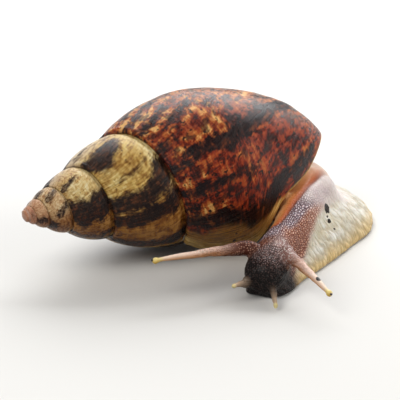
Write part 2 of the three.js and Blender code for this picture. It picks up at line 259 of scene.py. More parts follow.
def add_floor():
    select_only()
    bpy.ops.mesh.primitive_plane_add(size=FLOOR_SIZE, location=FLOOR_PLACE)
    floor = added("floor")
    floor.data.materials.append(floor_material())


def add_panel(name, place, size, watts, tint):
    """A soft light that looks at the middle of the snail."""
    bpy.ops.object.light_add(type="AREA", location=at(*place))
    lamp = added(name)
    lamp.data.shape = "RECTANGLE"
    lamp.data.size, lamp.data.size_y = size
    lamp.data.energy = watts
    lamp.data.color = tint
    direction = Vector(at(5, 20, 15)) - Vector(at(*place))
    lamp.rotation_euler = direction.to_track_quat("-Z", "Y").to_euler()


def light_the_room():
    world = bpy.data.worlds.new("studio")
    bpy.context.scene.world = world
    world.use_nodes = True
    background = world.node_tree.nodes["Background"]
    background.inputs["Color"].default_value = WORLD_TINT
    background.inputs["Strength"].default_value = WORLD_STRENGTH
    for lamp in LAMPS:
        add_panel(*lamp)


add_floor()
light_the_room()
bpy.context.scene.view_settings.view_transform = "Standard"


# %% [markdown]
# ## Chance that repeats
#
# Nature is irregular, yet the script has to give the same animal each time.
# So all chance comes from seeded tables: soft hills for broad variation, and loose cells for what packs
# together, such as the fields between the grooves of the foot.

# %% Hills and cells
def rise(x, low, high):
    """0 below `low` and 1 above `high`, with a soft change between them."""
    t = np.clip((x - low) / (high - low), 0, 1)
    return t * t * (3 - 2 * t)


def fade(x, low, high):
    """1 below `low` and 0 above `high`."""
    return 1 - rise(x, low, high)


def hills(x, y, seed, size=64):
    """Smooth random hills from 0 to 1, about one for each unit of x and y."""
    table = np.random.default_rng(seed).random((size, size))
    column, row = np.floor(x).astype(int), np.floor(y).astype(int)
    fx, fy = rise(x - column, 0, 1), rise(y - row, 0, 1)
    left, right, top, bottom = column % size, (column + 1) % size, row % size, (row + 1) % size
    upper = table[top, left] * (1 - fx) + table[top, right] * fx
    lower = table[bottom, left] * (1 - fx) + table[bottom, right] * fx
    return upper * (1 - fy) + lower * fy


def cells(x, y, seed, jitter=0.75, size=128):
    """A loose honeycomb: 0 on a cell's edge, rising inwards, and a random number for each cell."""
    table = np.random.default_rng(seed).random((3, size, size))
    column, row = np.floor(x).astype(int), np.floor(y).astype(int)
    near, far, chance = np.full(x.shape, 9.0), np.full(x.shape, 9.0), np.zeros(x.shape)
    for step_x in (-1, 0, 1):
        for step_y in (-2, -1, 0, 1):
            c, r = column + step_x, row + step_y
            shift_x, shift_y, number = table[:, r % size, c % size]
            dot_x = c + 0.5 + jitter * (shift_x - 0.5)
            dot_y = r + 0.5 + 0.5 * (c % 2) + jitter * (shift_y - 0.5)
            distance = np.hypot(x - dot_x, y - dot_y)
            closer = distance < near
            far = np.where(closer, near, np.minimum(far, distance))
            chance = np.where(closer, number, chance)
            near = np.where(closer, distance, near)
    return far - near, chance


# %% [markdown]
# ## The shell: how it grows
#
# A snail adds shell only at the lip, and keeps the same shape while it grows.
# So each turn is the one before, made wider by one ratio and longer by another.
# `whorl` gives the outer line of a whorl: `back` counts turns back from the lip, and `across` runs
# from 0 at the suture to 1 at the base. The numbers are those of the CAD shell.

# %% Growth law
SHELL_LENGTH = 110 * MM
RADIAL_GROWTH, AXIAL_GROWTH = 1.627, 1.833
SUTURE_RADIUS, SUTURE_HEIGHT = 20.4 * MM, 46.7 * MM
BASE_RADIUS, BASE_RISE = 3.5 * MM, 0.176
LAST_BULGE, SHOULDER_SLOPE = 0.667, math.radians(42.7)
SHOULDER_HANDLE, SHOULDER_DROP = 0.282, 0.22
BASE_FULLNESS, FLANK_LENGTH = 0.516, 0.3525
PERIPHERY, LIP_SWEEP, WHORLS = 0.42, 0.257, 6.5
AXIS_AZIMUTH, AXIS_PITCH, LIP_ANGLE = math.radians(34.8), math.radians(2.4), math.radians(39.5)
NUCLEUS_RADIUS, NUCLEUS_HEIGHT = 2.25 * MM, 2.9 * MM

AXIS = np.array([math.cos(AXIS_PITCH) * math.cos(AXIS_AZIMUTH),
                 math.cos(AXIS_PITCH) * math.sin(AXIS_AZIMUTH), math.sin(AXIS_PITCH)])
STRAIGHT_DOWN = np.array([0, 0, -1.0]) + AXIS * AXIS[2]
STRAIGHT_DOWN /= np.linalg.norm(STRAIGHT_DOWN)
NEAR_SIDE = np.cross(STRAIGHT_DOWN, AXIS)


def curve(a, b, c, d, t):
    """A Bezier curve's value, the four control values being a to d."""
    s = 1 - t
    return s ** 3 * a + 3 * s * s * t * b + 3 * s * t * t * c + t ** 3 * d


def blend_of(a, b, t):
    return a + (b - a) * t


def whorl(back, across):
    """Radius and height of the whorl's outer line, measured from the shell's axis and apex."""
    suture_r, suture_h = SUTURE_RADIUS * RADIAL_GROWTH ** -back, SUTURE_HEIGHT * AXIAL_GROWTH ** -back
    swelling = blend_of(LAST_BULGE, 1, rise(back, 0, 1))
    wide_r = suture_r * (1 + (RADIAL_GROWTH - 1) * swelling)
    wide_h = suture_h * (1 + (AXIAL_GROWTH - 1) * swelling)
    last = np.clip(back, 0, 1)
    base_h = SHELL_LENGTH * (1 - BASE_RISE * last) * AXIAL_GROWTH ** (last - back)
    base_r = BASE_RADIUS * RADIAL_GROWTH ** -back
    reach = SHOULDER_HANDLE * np.hypot(wide_r - suture_r, wide_h - suture_h)
    t = np.clip(across / PERIPHERY, 0, 1)
    shoulder_r = curve(suture_r, suture_r + reach * math.cos(SHOULDER_SLOPE), wide_r, wide_r, t)
    shoulder_h = curve(suture_h, suture_h + reach * math.sin(SHOULDER_SLOPE),
                       blend_of(wide_h, suture_h, SHOULDER_DROP), wide_h, t)
    t = np.clip((across - PERIPHERY) / (1 - PERIPHERY), 0, 1)
    flank_r = curve(wide_r, wide_r, blend_of(base_r, wide_r, BASE_FULLNESS), base_r, t)
    flank_h = curve(wide_h, blend_of(wide_h, base_h, FLANK_LENGTH), base_h, base_h, t)
    above = across < PERIPHERY
    return np.where(above, shoulder_r, flank_r), np.where(above, shoulder_h, flank_h)


def sweep(across):
    """How far the growth lines lag behind, in turns."""
    return LIP_SWEEP * np.clip(across, 0, 1) ** 1.5


# How far the soft new lip stands beyond the even spiral, in turns, for some places across it.
LIP_EDGE = ((0.02, 0.14, 0.30, 0.36, 0.41, 0.44, 0.46, 0.49, 0.54, 0.60, 0.66),
            (0.0, 0.028, 0.042, 0.038, 0.022, 0.010, -0.002, -0.014, -0.016, -0.007, 0.0))


def lip_reach(back, across):
    """The lip droops forward low down and stands back where the mantle collar comes out."""
    return np.interp(across, *LIP_EDGE) * fade(back, 0, 0.12)


def on_shell(back, radius, height):
    angle = (LIP_ANGLE + 2 * math.pi * back)[..., None]
    around = STRAIGHT_DOWN * np.cos(angle) + NEAR_SIDE * np.sin(angle)
    return APEX + AXIS * height[..., None] + around * radius[..., None]


print("axis of the shell:", np.round(AXIS, 3))


# %% [markdown]
# ## The shell: one long strip
#
# A spin or a screw modifier turns a profile round an axis, but it cannot make each turn wider by one
# ratio and longer by another. The real shell is one long strip of new growth, so the mesh is as well:
# a grid is added, and each of its lines is carried to its place on the spiral by the growth law.
# One line of the grid is one growth line, so ridges and colours follow the real direction of growth.
# The strip starts inside the aperture, folds round the lip and then winds back to the apex.

# %% Lines of the strip
LINE_STEP, LINE_GROWTH = 1 / 290, 1.5
ROOM_DEPTH, ROOM_LINES = 0.24, 34
FOLD_LINES = 6
ACROSS_ROWS, FLOOR_ROWS = 96, 4
LIP_THICK, WALL_THICK = 0.55 * MM, 1.15 * MM
TUCKED = 0.52
# Lines crowd towards the lip, and rows towards the suture; the floor ends just short of the axis.
LINE_CROWDING, ROW_CROWDING, FLOOR_REACH = 1.4, 1.12, 0.92


def strip_lines():
    """For each line: turns back from the lip, and the turn of the fold, from 1 inside to 0 outside."""
    back, fold = [], []
    for i in range(ROOM_LINES):
        back.append(ROOM_DEPTH * (1 - i / ROOM_LINES) ** LINE_CROWDING)
        fold.append(1.0)
    for i in range(1, FOLD_LINES):
        back.append(0.0)
        fold.append(1 - i / FOLD_LINES)
    turn = 0.0
    while turn < WHORLS:
        back.append(turn)
        fold.append(0.0)
        turn += LINE_STEP * LINE_GROWTH ** turn
    return np.array(back + [WHORLS]), np.array(fold + [0.0])


LINE_BACK, LINE_FOLD = strip_lines()
print(len(LINE_BACK), "lines of", ACROSS_ROWS + FLOOR_ROWS, "points")


# %% [markdown]
# The relief is real geometry: broad growth ridges, a few stronger rests where the snail stopped growing,
# a thin raised edge along the suture with small folds, and gentle unevenness.
# Everything finer than the mesh is left to the material's bump.

# %% Relief of the shell
SUTURE_DEPTH = 0.75
# Ridges, broad ridges, unevenness and cords: hills for each turn and across, seed, height in millimetres.
SWELLS = [(62, 3.0, 11, 0.16), (17, 2.0, 12, 0.22), (7, 6, 14, 0.35), (12, 90, 16, 0.05)]


def relief(back, across):
    """Height of the surface above the smooth whorl, in metres."""
    size = np.clip(RADIAL_GROWTH ** -back, 0.1, 1)
    height = -0.22 * rise(hills(back * 9, across * 0.6, 13), 0.74, 0.92)
    for per_turn, per_width, seed, tall in SWELLS:
        height += tall * (hills(back * per_turn, across * per_width, seed) - 0.5)
    folds = hills(back * 110, across * 1.5, 15) - 0.5
    crest = np.exp(-((across - 0.030) / 0.016) ** 2)
    height += crest * (0.30 + 0.45 * folds)
    deep = SUTURE_DEPTH * (1 - 0.7 * rise(back, 3.4, 4.4))
    height -= deep * np.exp(-(across / 0.013) ** 2)
    met = rise(back, 0.9, 1.0)
    height -= met * 0.8 * deep * np.exp(-((across - PERIPHERY) / 0.022) ** 2)
    height -= 1.3 * rise(-across, -0.009, 0)
    swollen = met * (0.30 + 0.07 * back) * np.sin(math.pi * np.clip(across / PERIPHERY, 0, 1)) ** 0.8
    return (height * size ** 0.8 + swollen * size ** 0.25) * MM


# %% Wind the strip
def wind(back, across, floor):
    """Places on the smooth whorl; `floor` runs from 0 at the base line to 1 at the axis."""
    swept = back + sweep(across) - lip_reach(back, across)
    radius, height = whorl(swept, across)
    return on_shell(swept, radius * (1 - FLOOR_REACH * floor), height)


def strip_points():
    rows = np.arange(ACROSS_ROWS + FLOOR_ROWS)
    share = np.clip(rows / (ACROSS_ROWS - 1), 0, 1) ** ROW_CROWDING
    floor = np.clip((rows - ACROSS_ROWS + 1) / FLOOR_ROWS, 0, 1)
    end = blend_of(1, TUCKED, rise(LINE_BACK, ROOM_DEPTH + 1.0, ROOM_DEPTH + 1.14))
    back = np.repeat(LINE_BACK[:, None], len(rows), 1)
    across = end[:, None] * share[None]
    floor = np.repeat(floor[None], len(back), 0)
    smooth = wind(back, across, floor)
    ahead = wind(back + 1e-4, across, floor) - wind(back - 1e-4, across, floor)
    along = np.gradient(smooth, axis=1)
    outward = np.cross(along, ahead)
    outward /= np.linalg.norm(outward, axis=-1, keepdims=True) + 1e-12
    from_axis = smooth - APEX - AXIS * ((smooth - APEX) @ AXIS)[..., None]
    middle = ACROSS_ROWS // 2
    if (outward[:, middle] * from_axis[:, middle]).sum() < 0:
        outward = -outward
    forward = -ahead / (np.linalg.norm(ahead, axis=-1, keepdims=True) + 1e-12)
    thick = blend_of(LIP_THICK, WALL_THICK, rise(back, 0, 0.05))
    turn = LINE_FOLD[:, None] * math.pi
    depth = 0.5 * thick * (np.cos(turn) - 1)
    nose = 0.5 * thick * np.sin(turn)
    outside = 0.5 + 0.5 * np.cos(turn)
    raised = relief(back, across) * outside * (1 - floor)
    points = smooth + outward * (depth + raised)[..., None] + forward * nose[..., None]
    return points, back, across, outside[:, 0]


STRIP, STRIP_BACK, STRIP_ACROSS, LINE_OUTSIDE = strip_points()
print("strip:", STRIP.shape, "lowest", np.round(STRIP.reshape(-1, 3).min(0), 4))


# %% Grid to strip
def points_of(piece):
    flat = np.zeros(len(piece.data.vertices) * 3)
    piece.data.vertices.foreach_get("co", flat)
    return flat.reshape(-1, 3)


def edit_all():
    bpy.ops.object.mode_set(mode="EDIT")
    bpy.ops.mesh.select_all(action="SELECT")


def carry_grid(name, points):
    """Adds a grid with a line for each line of `points` and carries its corners to them."""
    lines, rows = points.shape[:2]
    select_only()
    bpy.ops.mesh.primitive_grid_add(x_subdivisions=lines - 1, y_subdivisions=rows - 1, size=2)
    piece = added(name)
    flat = points_of(piece)
    line = np.rint((flat[:, 0] + 1) / 2 * (lines - 1)).astype(int)
    row = np.rint((flat[:, 1] + 1) / 2 * (rows - 1)).astype(int)
    piece.data.vertices.foreach_set("co", points[line, row].ravel())
    edit_all()
    bpy.ops.mesh.flip_normals()
    bpy.ops.object.mode_set(mode="OBJECT")
    return piece, line, row


def set_attribute(piece, name, values):
    layer = piece.data.attributes.get(name) or piece.data.attributes.new(name, "FLOAT", "POINT")
    layer.data.foreach_set("value", np.asarray(values, np.float32).ravel())


def set_uv(piece, name, u, v):
    """A UV map from one u and one v for each vertex."""
    layer = piece.data.uv_layers.get(name) or piece.data.uv_layers.new(name=name)
    index = np.zeros(len(piece.data.loops), int)
    piece.data.loops.foreach_get("vertex_index", index)
    layer.data.foreach_set("uv", np.stack([u[index], v[index]], 1).ravel())


shell, LINE, ROW = carry_grid("shell_wound", STRIP)
U, V = STRIP_BACK[LINE, ROW], STRIP_ACROSS[LINE, ROW]
shell.data.uv_layers[0].name = "growth"
set_uv(shell, "growth", U, V)
print("shell strip:", len(shell.data.polygons), "faces, UV maps", [x.name for x in shell.data.uv_layers])


# %% [markdown]
# The strip ends in the first, smooth whorl, a blunt little dome.
# Inside the aperture a pillar, the columella, closes the middle of the spiral.
# Both are balls that are stretched, turned to the shell's axis and then joined to the strip.

# %% First whorl and pillar
PILLAR_LOW, PILLAR_HIGH, PILLAR_RADIUS = 56 * MM, 102 * MM, 2.7 * MM
DOME_FLATNESS = 0.96


def add_ball(name, radius, segments, rings):
    select_only()
    bpy.ops.mesh.primitive_uv_sphere_add(segments=segments, ring_count=rings, radius=radius)
    return added(name)


def set_on_axis(piece, height):
    """Turns a piece's +Z to the shell's axis and moves it to its height above the apex."""
    piece.data.transform(Vector(AXIS).to_track_quat("Z", "Y").to_matrix().to_4x4())
    piece.data.transform(Matrix.Translation(APEX + AXIS * height))


def add_first_whorl():
    dome = add_ball("first_whorl", NUCLEUS_RADIUS, 40, 24)
    edit_all()
    bpy.ops.transform.resize(value=(1, 1, DOME_FLATNESS))
    bpy.ops.object.mode_set(mode="OBJECT")
    set_on_axis(dome, NUCLEUS_HEIGHT)
    return dome


def add_pillar():
    pillar = add_ball("pillar", 1, 32, 24)
    half_length = (PILLAR_HIGH - PILLAR_LOW) / 2
    pillar.data.transform(Matrix.Diagonal((PILLAR_RADIUS, PILLAR_RADIUS, half_length, 1)))
    set_on_axis(pillar, (PILLAR_LOW + PILLAR_HIGH) / 2)
    return pillar


def join(main, others):
    select_only(main, *others)
    bpy.ops.object.join()
    return main


def plain_uv(piece, u, v):
    """Gives a ball one place in growth coordinates, and no other UV map."""
    set_uv(piece, "growth", np.full(len(piece.data.vertices), u), np.full(len(piece.data.vertices), v))
    while len(piece.data.uv_layers) > 1:
        spare = next(x for x in piece.data.uv_layers if x.name != "growth")
        piece.data.uv_layers.remove(spare)


# %% [markdown]
# ## The shell's flames
#
# The pattern is laid down at the lip as the shell grows, so each dark flame follows the growth lines.
# Broad things are masks stored on the vertices: `dark_flame` for the dark flames, `golden` for the light
# patches between them, and `fresh` for the newest, still unpigmented band at the lip.
# The material breaks their edges up with finer noise.
# Each flame is written as: turn back, half width in turns, start and end across the whorl, strength.

# %% Flames
FLAMES = [
    (0.083, 0.018, -0.05, 0.78, 1.00), (0.118, 0.014, -0.05, 0.16, 0.60), (0.152, 0.015, -0.05, 0.34, 0.80),
    (0.150, 0.012, 0.28, 0.46, 0.60), (0.224, 0.017, 0.08, 0.84, 1.00), (0.215, 0.016, -0.05, 0.20, 0.80),
    (0.240, 0.012, 0.42, 0.52, 0.70), (0.277, 0.013, -0.05, 0.16, 0.80), (0.272, 0.013, 0.34, 0.50, 0.80),
    (0.312, 0.012, 0.10, 0.40, 0.60), (0.345, 0.013, -0.02, 0.30, 0.75), (0.392, 0.013, -0.05, 0.40, 0.70),
    (0.440, 0.016, 0.05, 0.60, 0.65), (0.500, 0.024, -0.05, 0.62, 0.95), (0.585, 0.019, 0.10, 0.80, 0.85),
    (0.660, 0.028, -0.05, 0.70, 1.00), (0.745, 0.018, 0.05, 0.75, 0.80), (0.820, 0.026, -0.05, 0.90, 0.95),
    (0.905, 0.022, 0.00, 0.80, 0.90), (0.965, 0.022, -0.05, 0.60, 0.95),
    (1.020, 0.010, -0.05, 0.12, 0.50), (1.088, 0.024, -0.05, 0.60, 1.00), (1.150, 0.048, -0.05, 0.60, 0.86),
    (1.222, 0.012, 0.06, 0.40, 0.42), (1.336, 0.038, -0.05, 0.34, 1.00), (1.296, 0.024, 0.13, 0.24, 0.85),
    (1.430, 0.016, 0.00, 0.30, 0.45), (1.500, 0.034, -0.05, 0.60, 0.90), (1.620, 0.040, 0.02, 0.60, 0.95),
    (1.760, 0.034, -0.05, 0.40, 0.90), (1.880, 0.044, -0.05, 0.60, 0.95), (1.970, 0.026, -0.05, 0.50, 0.60),
    (2.140, 0.064, -0.05, 0.60, 1.00), (2.300, 0.020, -0.02, 0.30, 0.65), (2.040, 0.020, 0.30, 0.44, 0.50),
    (2.480, 0.045, -0.05, 0.60, 0.80), (2.680, 0.050, 0.00, 0.40, 0.80), (2.860, 0.040, -0.05, 0.60, 0.85),
    (3.050, 0.070, -0.05, 0.20, 1.00), (3.130, 0.035, 0.10, 0.50, 0.60), (3.270, 0.040, 0.02, 0.45, 0.55),
    (3.420, 0.060, -0.05, 0.30, 0.60), (3.700, 0.060, -0.05, 0.50, 0.65), (4.060, 0.070, -0.05, 0.40, 0.70),
    (4.500, 0.060, 0.05, 0.50, 0.45), (5.150, 0.080, 0.10, 0.40, 0.40), (5.800, 0.160, 0.00, 0.40, 0.50),
]
GOLD = [
    (0.058, 0.007, 0.12, 0.42, 0.90), (0.108, 0.016, 0.08, 0.30, 0.55), (0.176, 0.010, -0.05, 0.20, 0.60),
    (0.247, 0.020, 0.22, 0.46, 1.00), (0.252, 0.016, 0.05, 0.20, 0.75), (0.288, 0.012, 0.20, 0.38, 0.90),
    # The rows at 0.366, 0.418 and 0.462 turns are also painted sheen: they lighten the top of the last whorl.
    (0.235, 0.012, 0.50, 0.66, 0.80), (0.330, 0.010, -0.05, 0.40, 0.60), (0.366, 0.012, -0.05, 0.34, 0.85),
    (0.418, 0.016, -0.05, 0.45, 0.90), (0.462, 0.012, 0.00, 0.60, 0.80),
    (0.100, 0.020, 0.55, 0.75, 0.40), (0.540, 0.020, 0.00, 0.60, 0.60), (0.625, 0.014, 0.10, 0.70, 0.60),
    (0.705, 0.018, 0.00, 0.60, 0.60), (0.780, 0.016, 0.10, 0.80, 0.60), (0.865, 0.018, 0.00, 0.70, 0.60),
    (0.935, 0.014, 0.00, 0.50, 0.50), (1.040, 0.030, 0.10, 0.46, 0.35), (1.240, 0.060, 0.30, 0.50, 0.75),
    (1.245, 0.040, 0.02, 0.20, 0.35), (2.040, 0.035, 0.20, 0.46, 0.50), (2.250, 0.060, 0.05, 0.50, 0.55),
]
FLAME_SEED, GOLD_SEED, FRESH_SEED = 21, 23, 26
# The newest flames lean forward, by so many turns, on their way across the whorl.
LEAN, LEANING_UNTIL = 0.058, 0.23
# How far the fresh band reaches back, in turns, for some places across the whorl.
FRESH_REACH = (0.10, 0.22, 0.39, 0.47, 0.52), (0.066, 0.070, 0.046, 0.018, 0.0)
DOME_PLACE, PILLAR_PLACE = (6.4, 0.2), (0.03, 0.9)


def band_mask(bands, back, across, seed):
    """How strong the bands are at each vertex, from 0 to 1, as soft ridges with wandering edges."""
    mask = np.zeros(back.shape)
    for number, (turn, half, start, end, strength) in enumerate(bands):
        wander = 0.9 * half * (hills(across * 9, back * 0 + number, seed) - 0.5)
        ragged = 0.65 + 0.7 * hills(across * 14, back * 0 + number, seed + 1)
        pinch = rise(across, start - 0.02, start + 0.08) * fade(across, end - 0.12, end + 0.03)
        leaning = -LEAN * rise(across, 0.10, 0.62) if turn < LEANING_UNTIL else 0
        away = np.abs(back - turn - wander - leaning) / (half * ragged * (0.35 + 0.65 * pinch))
        mask = np.maximum(mask, strength * pinch * fade(away, 0.25, 1.55))
    return mask


def fresh_mask(back, across):
    """The newest growth at the lip, widest low down on the near side of the lip."""
    ragged = 0.85 + 0.3 * hills(across * 22, back * 0, FRESH_SEED)
    reach = ragged * np.interp(across, *FRESH_REACH)
    return fade(back, 0.75 * reach, reach + 1e-4)


def finish_shell():
    set_attribute(shell, "dark_flame", band_mask(FLAMES, U, V, FLAME_SEED))
    set_attribute(shell, "golden", band_mask(GOLD, U, V, GOLD_SEED))
    set_attribute(shell, "fresh", fresh_mask(U, V))
    set_attribute(shell, "inside", 1 - LINE_OUTSIDE[LINE])
    dome, pillar = add_first_whorl(), add_pillar()
    for extra, place, inside in ((dome, DOME_PLACE, 0), (pillar, PILLAR_PLACE, 1)):
        plain_uv(extra, *place)
        for name in ("dark_flame", "golden", "fresh"):
            set_attribute(extra, name, np.zeros(len(extra.data.vertices)))
        set_attribute(extra, "inside", np.full(len(extra.data.vertices), inside))
    join(shell, [dome, pillar])
    shell.name = "shell_wound"
    bpy.ops.object.shade_smooth()
    print("shell:", len(shell.data.polygons), "faces")


finish_shell()


# %% [markdown]
# ## The shell's finish
#
# Under the flames the ground colour changes with age: chestnut and orange mottle on the last whorl, redder
# on its newest part, then olive gold, then cream, and a pinkish first whorl. Each older whorl has painted
# shade, a deeper colour, on its underside, and a painted sheen, a pale colour, on its upper side. The last
# whorl also has a painted sheen along its top.
# All patterns read the growth coordinates, so they lie along the growth lines and shrink with the whorls.

# %% Shell material
# Colours from the dark to the pale side of the mottle, each with its place on the ramp.
CHESTNUT = ((0.16, "160506"), (0.30, "46110a"), (0.44, "782612"), (0.60, "9c421c"), (0.76, "c06e32"),
            (0.92, "eab46a"))
RED_CHESTNUT = (0.16, "160506"), (0.34, "4c130a"), (0.50, "862a12"), (0.68, "aa451e"), (0.92, "cc7a3c")
OLIVE_GOLD = (0.12, "5e3a18"), (0.32, "9a6c30"), (0.52, "c49c50"), (0.72, "dcbe72"), (0.92, "f0e0aa")
CREAM = (0.12, "7c4630"), (0.34, "bc8a58"), (0.54, "dab482"), (0.74, "ecd4a8"), (0.92, "f6e8cc")
PINKISH = (0.15, "9a4a32"), (0.45, "cc8a68"), (0.80, "eabc9c")
# A deeper, darker gold, painted as shade on the underside of each older whorl.
UNDERSIDE_SHADE_GOLD = (0.20, "3c1906"), (0.50, "86440e"), (0.80, "c07c2c")
DARK_FLAME = (0.20, "060307"), (0.48, "14080b"), (0.62, "2c110d"), (0.80, "6a3216")
PEARL = (0.1, "bfb8ae"), (0.9, "dcd5ca")
# The fresh band's dark and pale streaks, right at the lip and behind it.
AT_LIP, BEHIND_LIP = ("c2923e", "f0cc80"), ("764e1e", "ba843c")
# Turns back from the lip over which one ground colour gives way to the next.
TO_GOLD, TO_CREAM, TO_PINK = (0.70, 1.02), (2.0, 2.7), (3.6, 4.8)
# Noises: spots for each turn and across the whorl, shift, detail, roughness and warp.
SHELL_NOISES = {
    "blotch": (60, 21, 0.0, 4, 0.54, 0.5),
    "spot": (165, 58, 7.7, 3, 0.55, 0.3),
    "streak": (430, 9, 1.3, 3, 0.6, 0.0),
    "broad": (17, 6, 3.1, 3, 0.5, 0.3),
    "smear": (26, 60, 4.4, 3, 0.6, 0.4),
    "dots": (105, 42, 11.0, 2, 0.5, 0.0),
    "patches": (46, 20, 9.0, 3, 0.5, 0.3),
    "lines": (900, 5, 1.3, 3, 0.6, 0.0),
    "cords": (14, 300, 5.1, 2, 0.5, 0.0),
    "ribs": (300, 4, 2.2, 2, 0.5, 0.0),
}
# These are made crisp by a step round the noise's middle, of this half width.
CRISP = {"blotch": 0.15, "spot": 0.15, "streak": 0.17, "broad": 0.15, "smear": 0.16}
TONE_SHARES = {"blotch": 0.36, "spot": 0.10, "streak": 0.10, "broad": 0.20, "smear": 0.24}
FLAME_SHARES = {"spot": 0.34, "blotch": 0.40, "streak": 0.28}


def shell_layers(m):
    """All the noises of the shell by name."""
    layers = {}
    for name, (turn_scale, across_scale, shift, *character) in SHELL_NOISES.items():
        layers[name] = m.noise(m.grown(turn_scale, across_scale, shift), *character)
    for name, half in CRISP.items():
        layers[name] = m.between(layers[name], 0.5 - half, 0.5 + half)
    return layers


def last_whorl(m, tone, back, across):
    """Chestnut mottle, redder on the newest part, with a painted sheen, a pale salmon band, along the top of
    the whorl.
    """
    leaned = m.plus(back, m.times(across, 0.12))
    golden = m.maths("MAXIMUM", m.between(leaned, 0.21, 0.26), m.between(across, 0.26, 0.10))
    body = m.mix(golden, m.ramp(tone, *RED_CHESTNUT), m.ramp(tone, *CHESTNUT))
    # Painted sheen: a pale salmon band along the top of the last whorl, as a highlight from the light above.
    painted_sheen_band = m.band(m.plus(back, m.times(across, 0.55)), 0.44, 0.56, 0.60, 0.76)
    return m.stain(body, painted_sheen_band, 0.22, "dcae80")


def shell_ground(m, tone, back, across):
    """The ground colour by age, from the lip to the first whorl."""
    ground = m.mix(m.between(back, *TO_GOLD), last_whorl(m, tone, back, across), m.ramp(tone, *OLIVE_GOLD))
    ground = m.mix(m.between(back, *TO_CREAM), ground, m.ramp(tone, *CREAM))
    # Painted shade: the underside of each older whorl gets a deeper, darker gold.
    below = m.band(m.maths("FRACT", m.plus(back, 0.08)), 0.0, 0.03, 0.13, 0.26)
    older = m.times(m.between(back, 0.9, 0.95), 0.85)
    ground = m.mix(m.times(below, older), ground, m.ramp(tone, *UNDERSIDE_SHADE_GOLD))
    ground = m.mix(m.between(back, *TO_PINK), ground, m.ramp(tone, *PINKISH))
    # Painted sheen: the upper side of each older whorl is made pale, as a highlight from the light above.
    painted_top_sheen = m.times(m.band(m.maths("FRACT", back), 0.33, 0.46, 0.62, 0.78), m.between(back, 0.9, 1.0))
    ground = m.stain(ground, painted_top_sheen, 0.55, "eedfcc")
    low = m.times(m.between(across, 0.28, 0.42), m.between(back, 0.93, 1.0))
    return m.stain(ground, m.times(low, m.minus(1.0, below)), 0.35, "d9c798")


def add_flames(m, ground, layers, tone, young):
    """The dark flames, with edges that the finer noises make ragged, and the small dark spots."""
    ragged = m.blend(young, 0.5, 0.85)
    edges = [(m.times(m.minus(0.5, layers[name]), ragged), share) for name, share in FLAME_SHARES.items()]
    flame = m.total((m.stored("dark_flame"), 0.86), *edges)
    ground = m.stain(ground, m.between(flame, 0.10, 0.42), 0.66, "3f160c")
    ground = m.mix(m.times(m.between(flame, 0.34, 0.60), 0.94), ground, m.ramp(tone, *DARK_FLAME))
    ground = m.stain(ground, m.between(layers["patches"], 0.53, 0.62), m.times(young, 0.75), "240e0a")
    ground = m.stain(ground, m.between(layers["dots"], 0.58, 0.66), young, "140909")
    return m.stain(ground, m.between(layers["dots"], 0.66, 0.72), 0.8, "3a1c10")


def fresh_band(m, streak, back):
    """The colour of the newest growth: yellow streaks at the lip, brown ones behind, some smudges."""
    streaky = m.between(streak, 0.2, 0.8)
    yellow, brown = (m.mix(streaky, linear(dark), linear(pale)) for dark, pale in (AT_LIP, BEHIND_LIP))
    fresh = m.mix(m.between(back, 0.012, 0.042), yellow, brown)
    smudge = m.noise(m.solid(420), 2, 0.5)
    return m.stain(fresh, m.between(smudge, 0.66, 0.74), 1.0, "2e1a0e")


def add_growth_lines(m, ground, layers, young):
    """Fine dark lines along and across the growth, and a little pale between the ribs."""
    ground = m.stain(ground, m.between(layers["lines"], 0.48, 0.62), m.blend(young, 0.22, 0.34), "1c0f0c")
    ground = m.stain(ground, m.between(layers["cords"], 0.52, 0.64), 0.16, "1c0f0c")
    ground = m.stain(ground, m.between(layers["ribs"], 0.54, 0.66), 0.20, "1c0f0c")
    return m.stain(ground, m.between(layers["ribs"], 0.46, 0.34), 0.02, "d8c0a4")


def shell_material():
    m = Mixture("snail_shell")
    back, across = (m.node("SeparateXYZ", {0: m.grown(1, 1)}, i) for i in (0, 1))
    young = m.minus(1.0, m.between(back, 0.7, 1.0))
    layers = shell_layers(m)
    mottle = m.total(*((layers[name], share) for name, share in TONE_SHARES.items()))
    calm = m.total((layers["streak"], 0.24), (mottle, 0.76))
    tone = m.blend(m.between(back, 0.90, 1.0), mottle, calm)
    lifted = m.plus(tone, m.times(m.stored("golden"), 0.36))
    ground = shell_ground(m, lifted, back, across)
    ground = add_flames(m, ground, layers, tone, young)
    ground = m.mix(m.stored("fresh"), ground, fresh_band(m, layers["streak"], back))
    ground = add_growth_lines(m, ground, layers, young)
    seam = m.minus(1.0, m.between(across, 0.004, 0.020))
    ground = m.stain(ground, seam, 0.8, "140a08")
    ground = m.mix(m.between(m.stored("inside"), 0.55, 0.8), ground, m.ramp(layers["blotch"], *PEARL))
    height = m.total((layers["lines"], 0.8), (layers["cords"], 0.5), (layers["ribs"], -0.8),
                     (m.noise(m.solid(2600), 2, 0.5), 0.25))
    gloss = m.node("MapRange", {0: layers["blotch"], 1: 0.0, 2: 1.0, 3: 0.20, 4: 0.38})
    return m.finish(Base_Color=ground, Roughness=gloss, Normal=m.bump(height, 0.20 * MM, 0.8),
                    Coat_Weight=0.02, Coat_Roughness=0.12, Specular_IOR_Level=0.17)


shell.data.materials.clear()
shell.data.materials.append(shell_material())
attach(shell, "root")
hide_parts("shell")
print("shell finished")


# %% [markdown]
# ## The skin: one piece from many
#
# On the real animal one skin runs from the feelers to the tail, with no seams.
# The CAD body is parted by thin cuts, so its pieces are copied, joined and swollen a little until they
# touch. A voxel remesh then makes one closed surface of them, and any bubble it leaves inside is deleted.
# Later the same amount is taken off again.
# Smoothing rounds the places where neck, foot and feelers meet. It is held back where the body is thin.

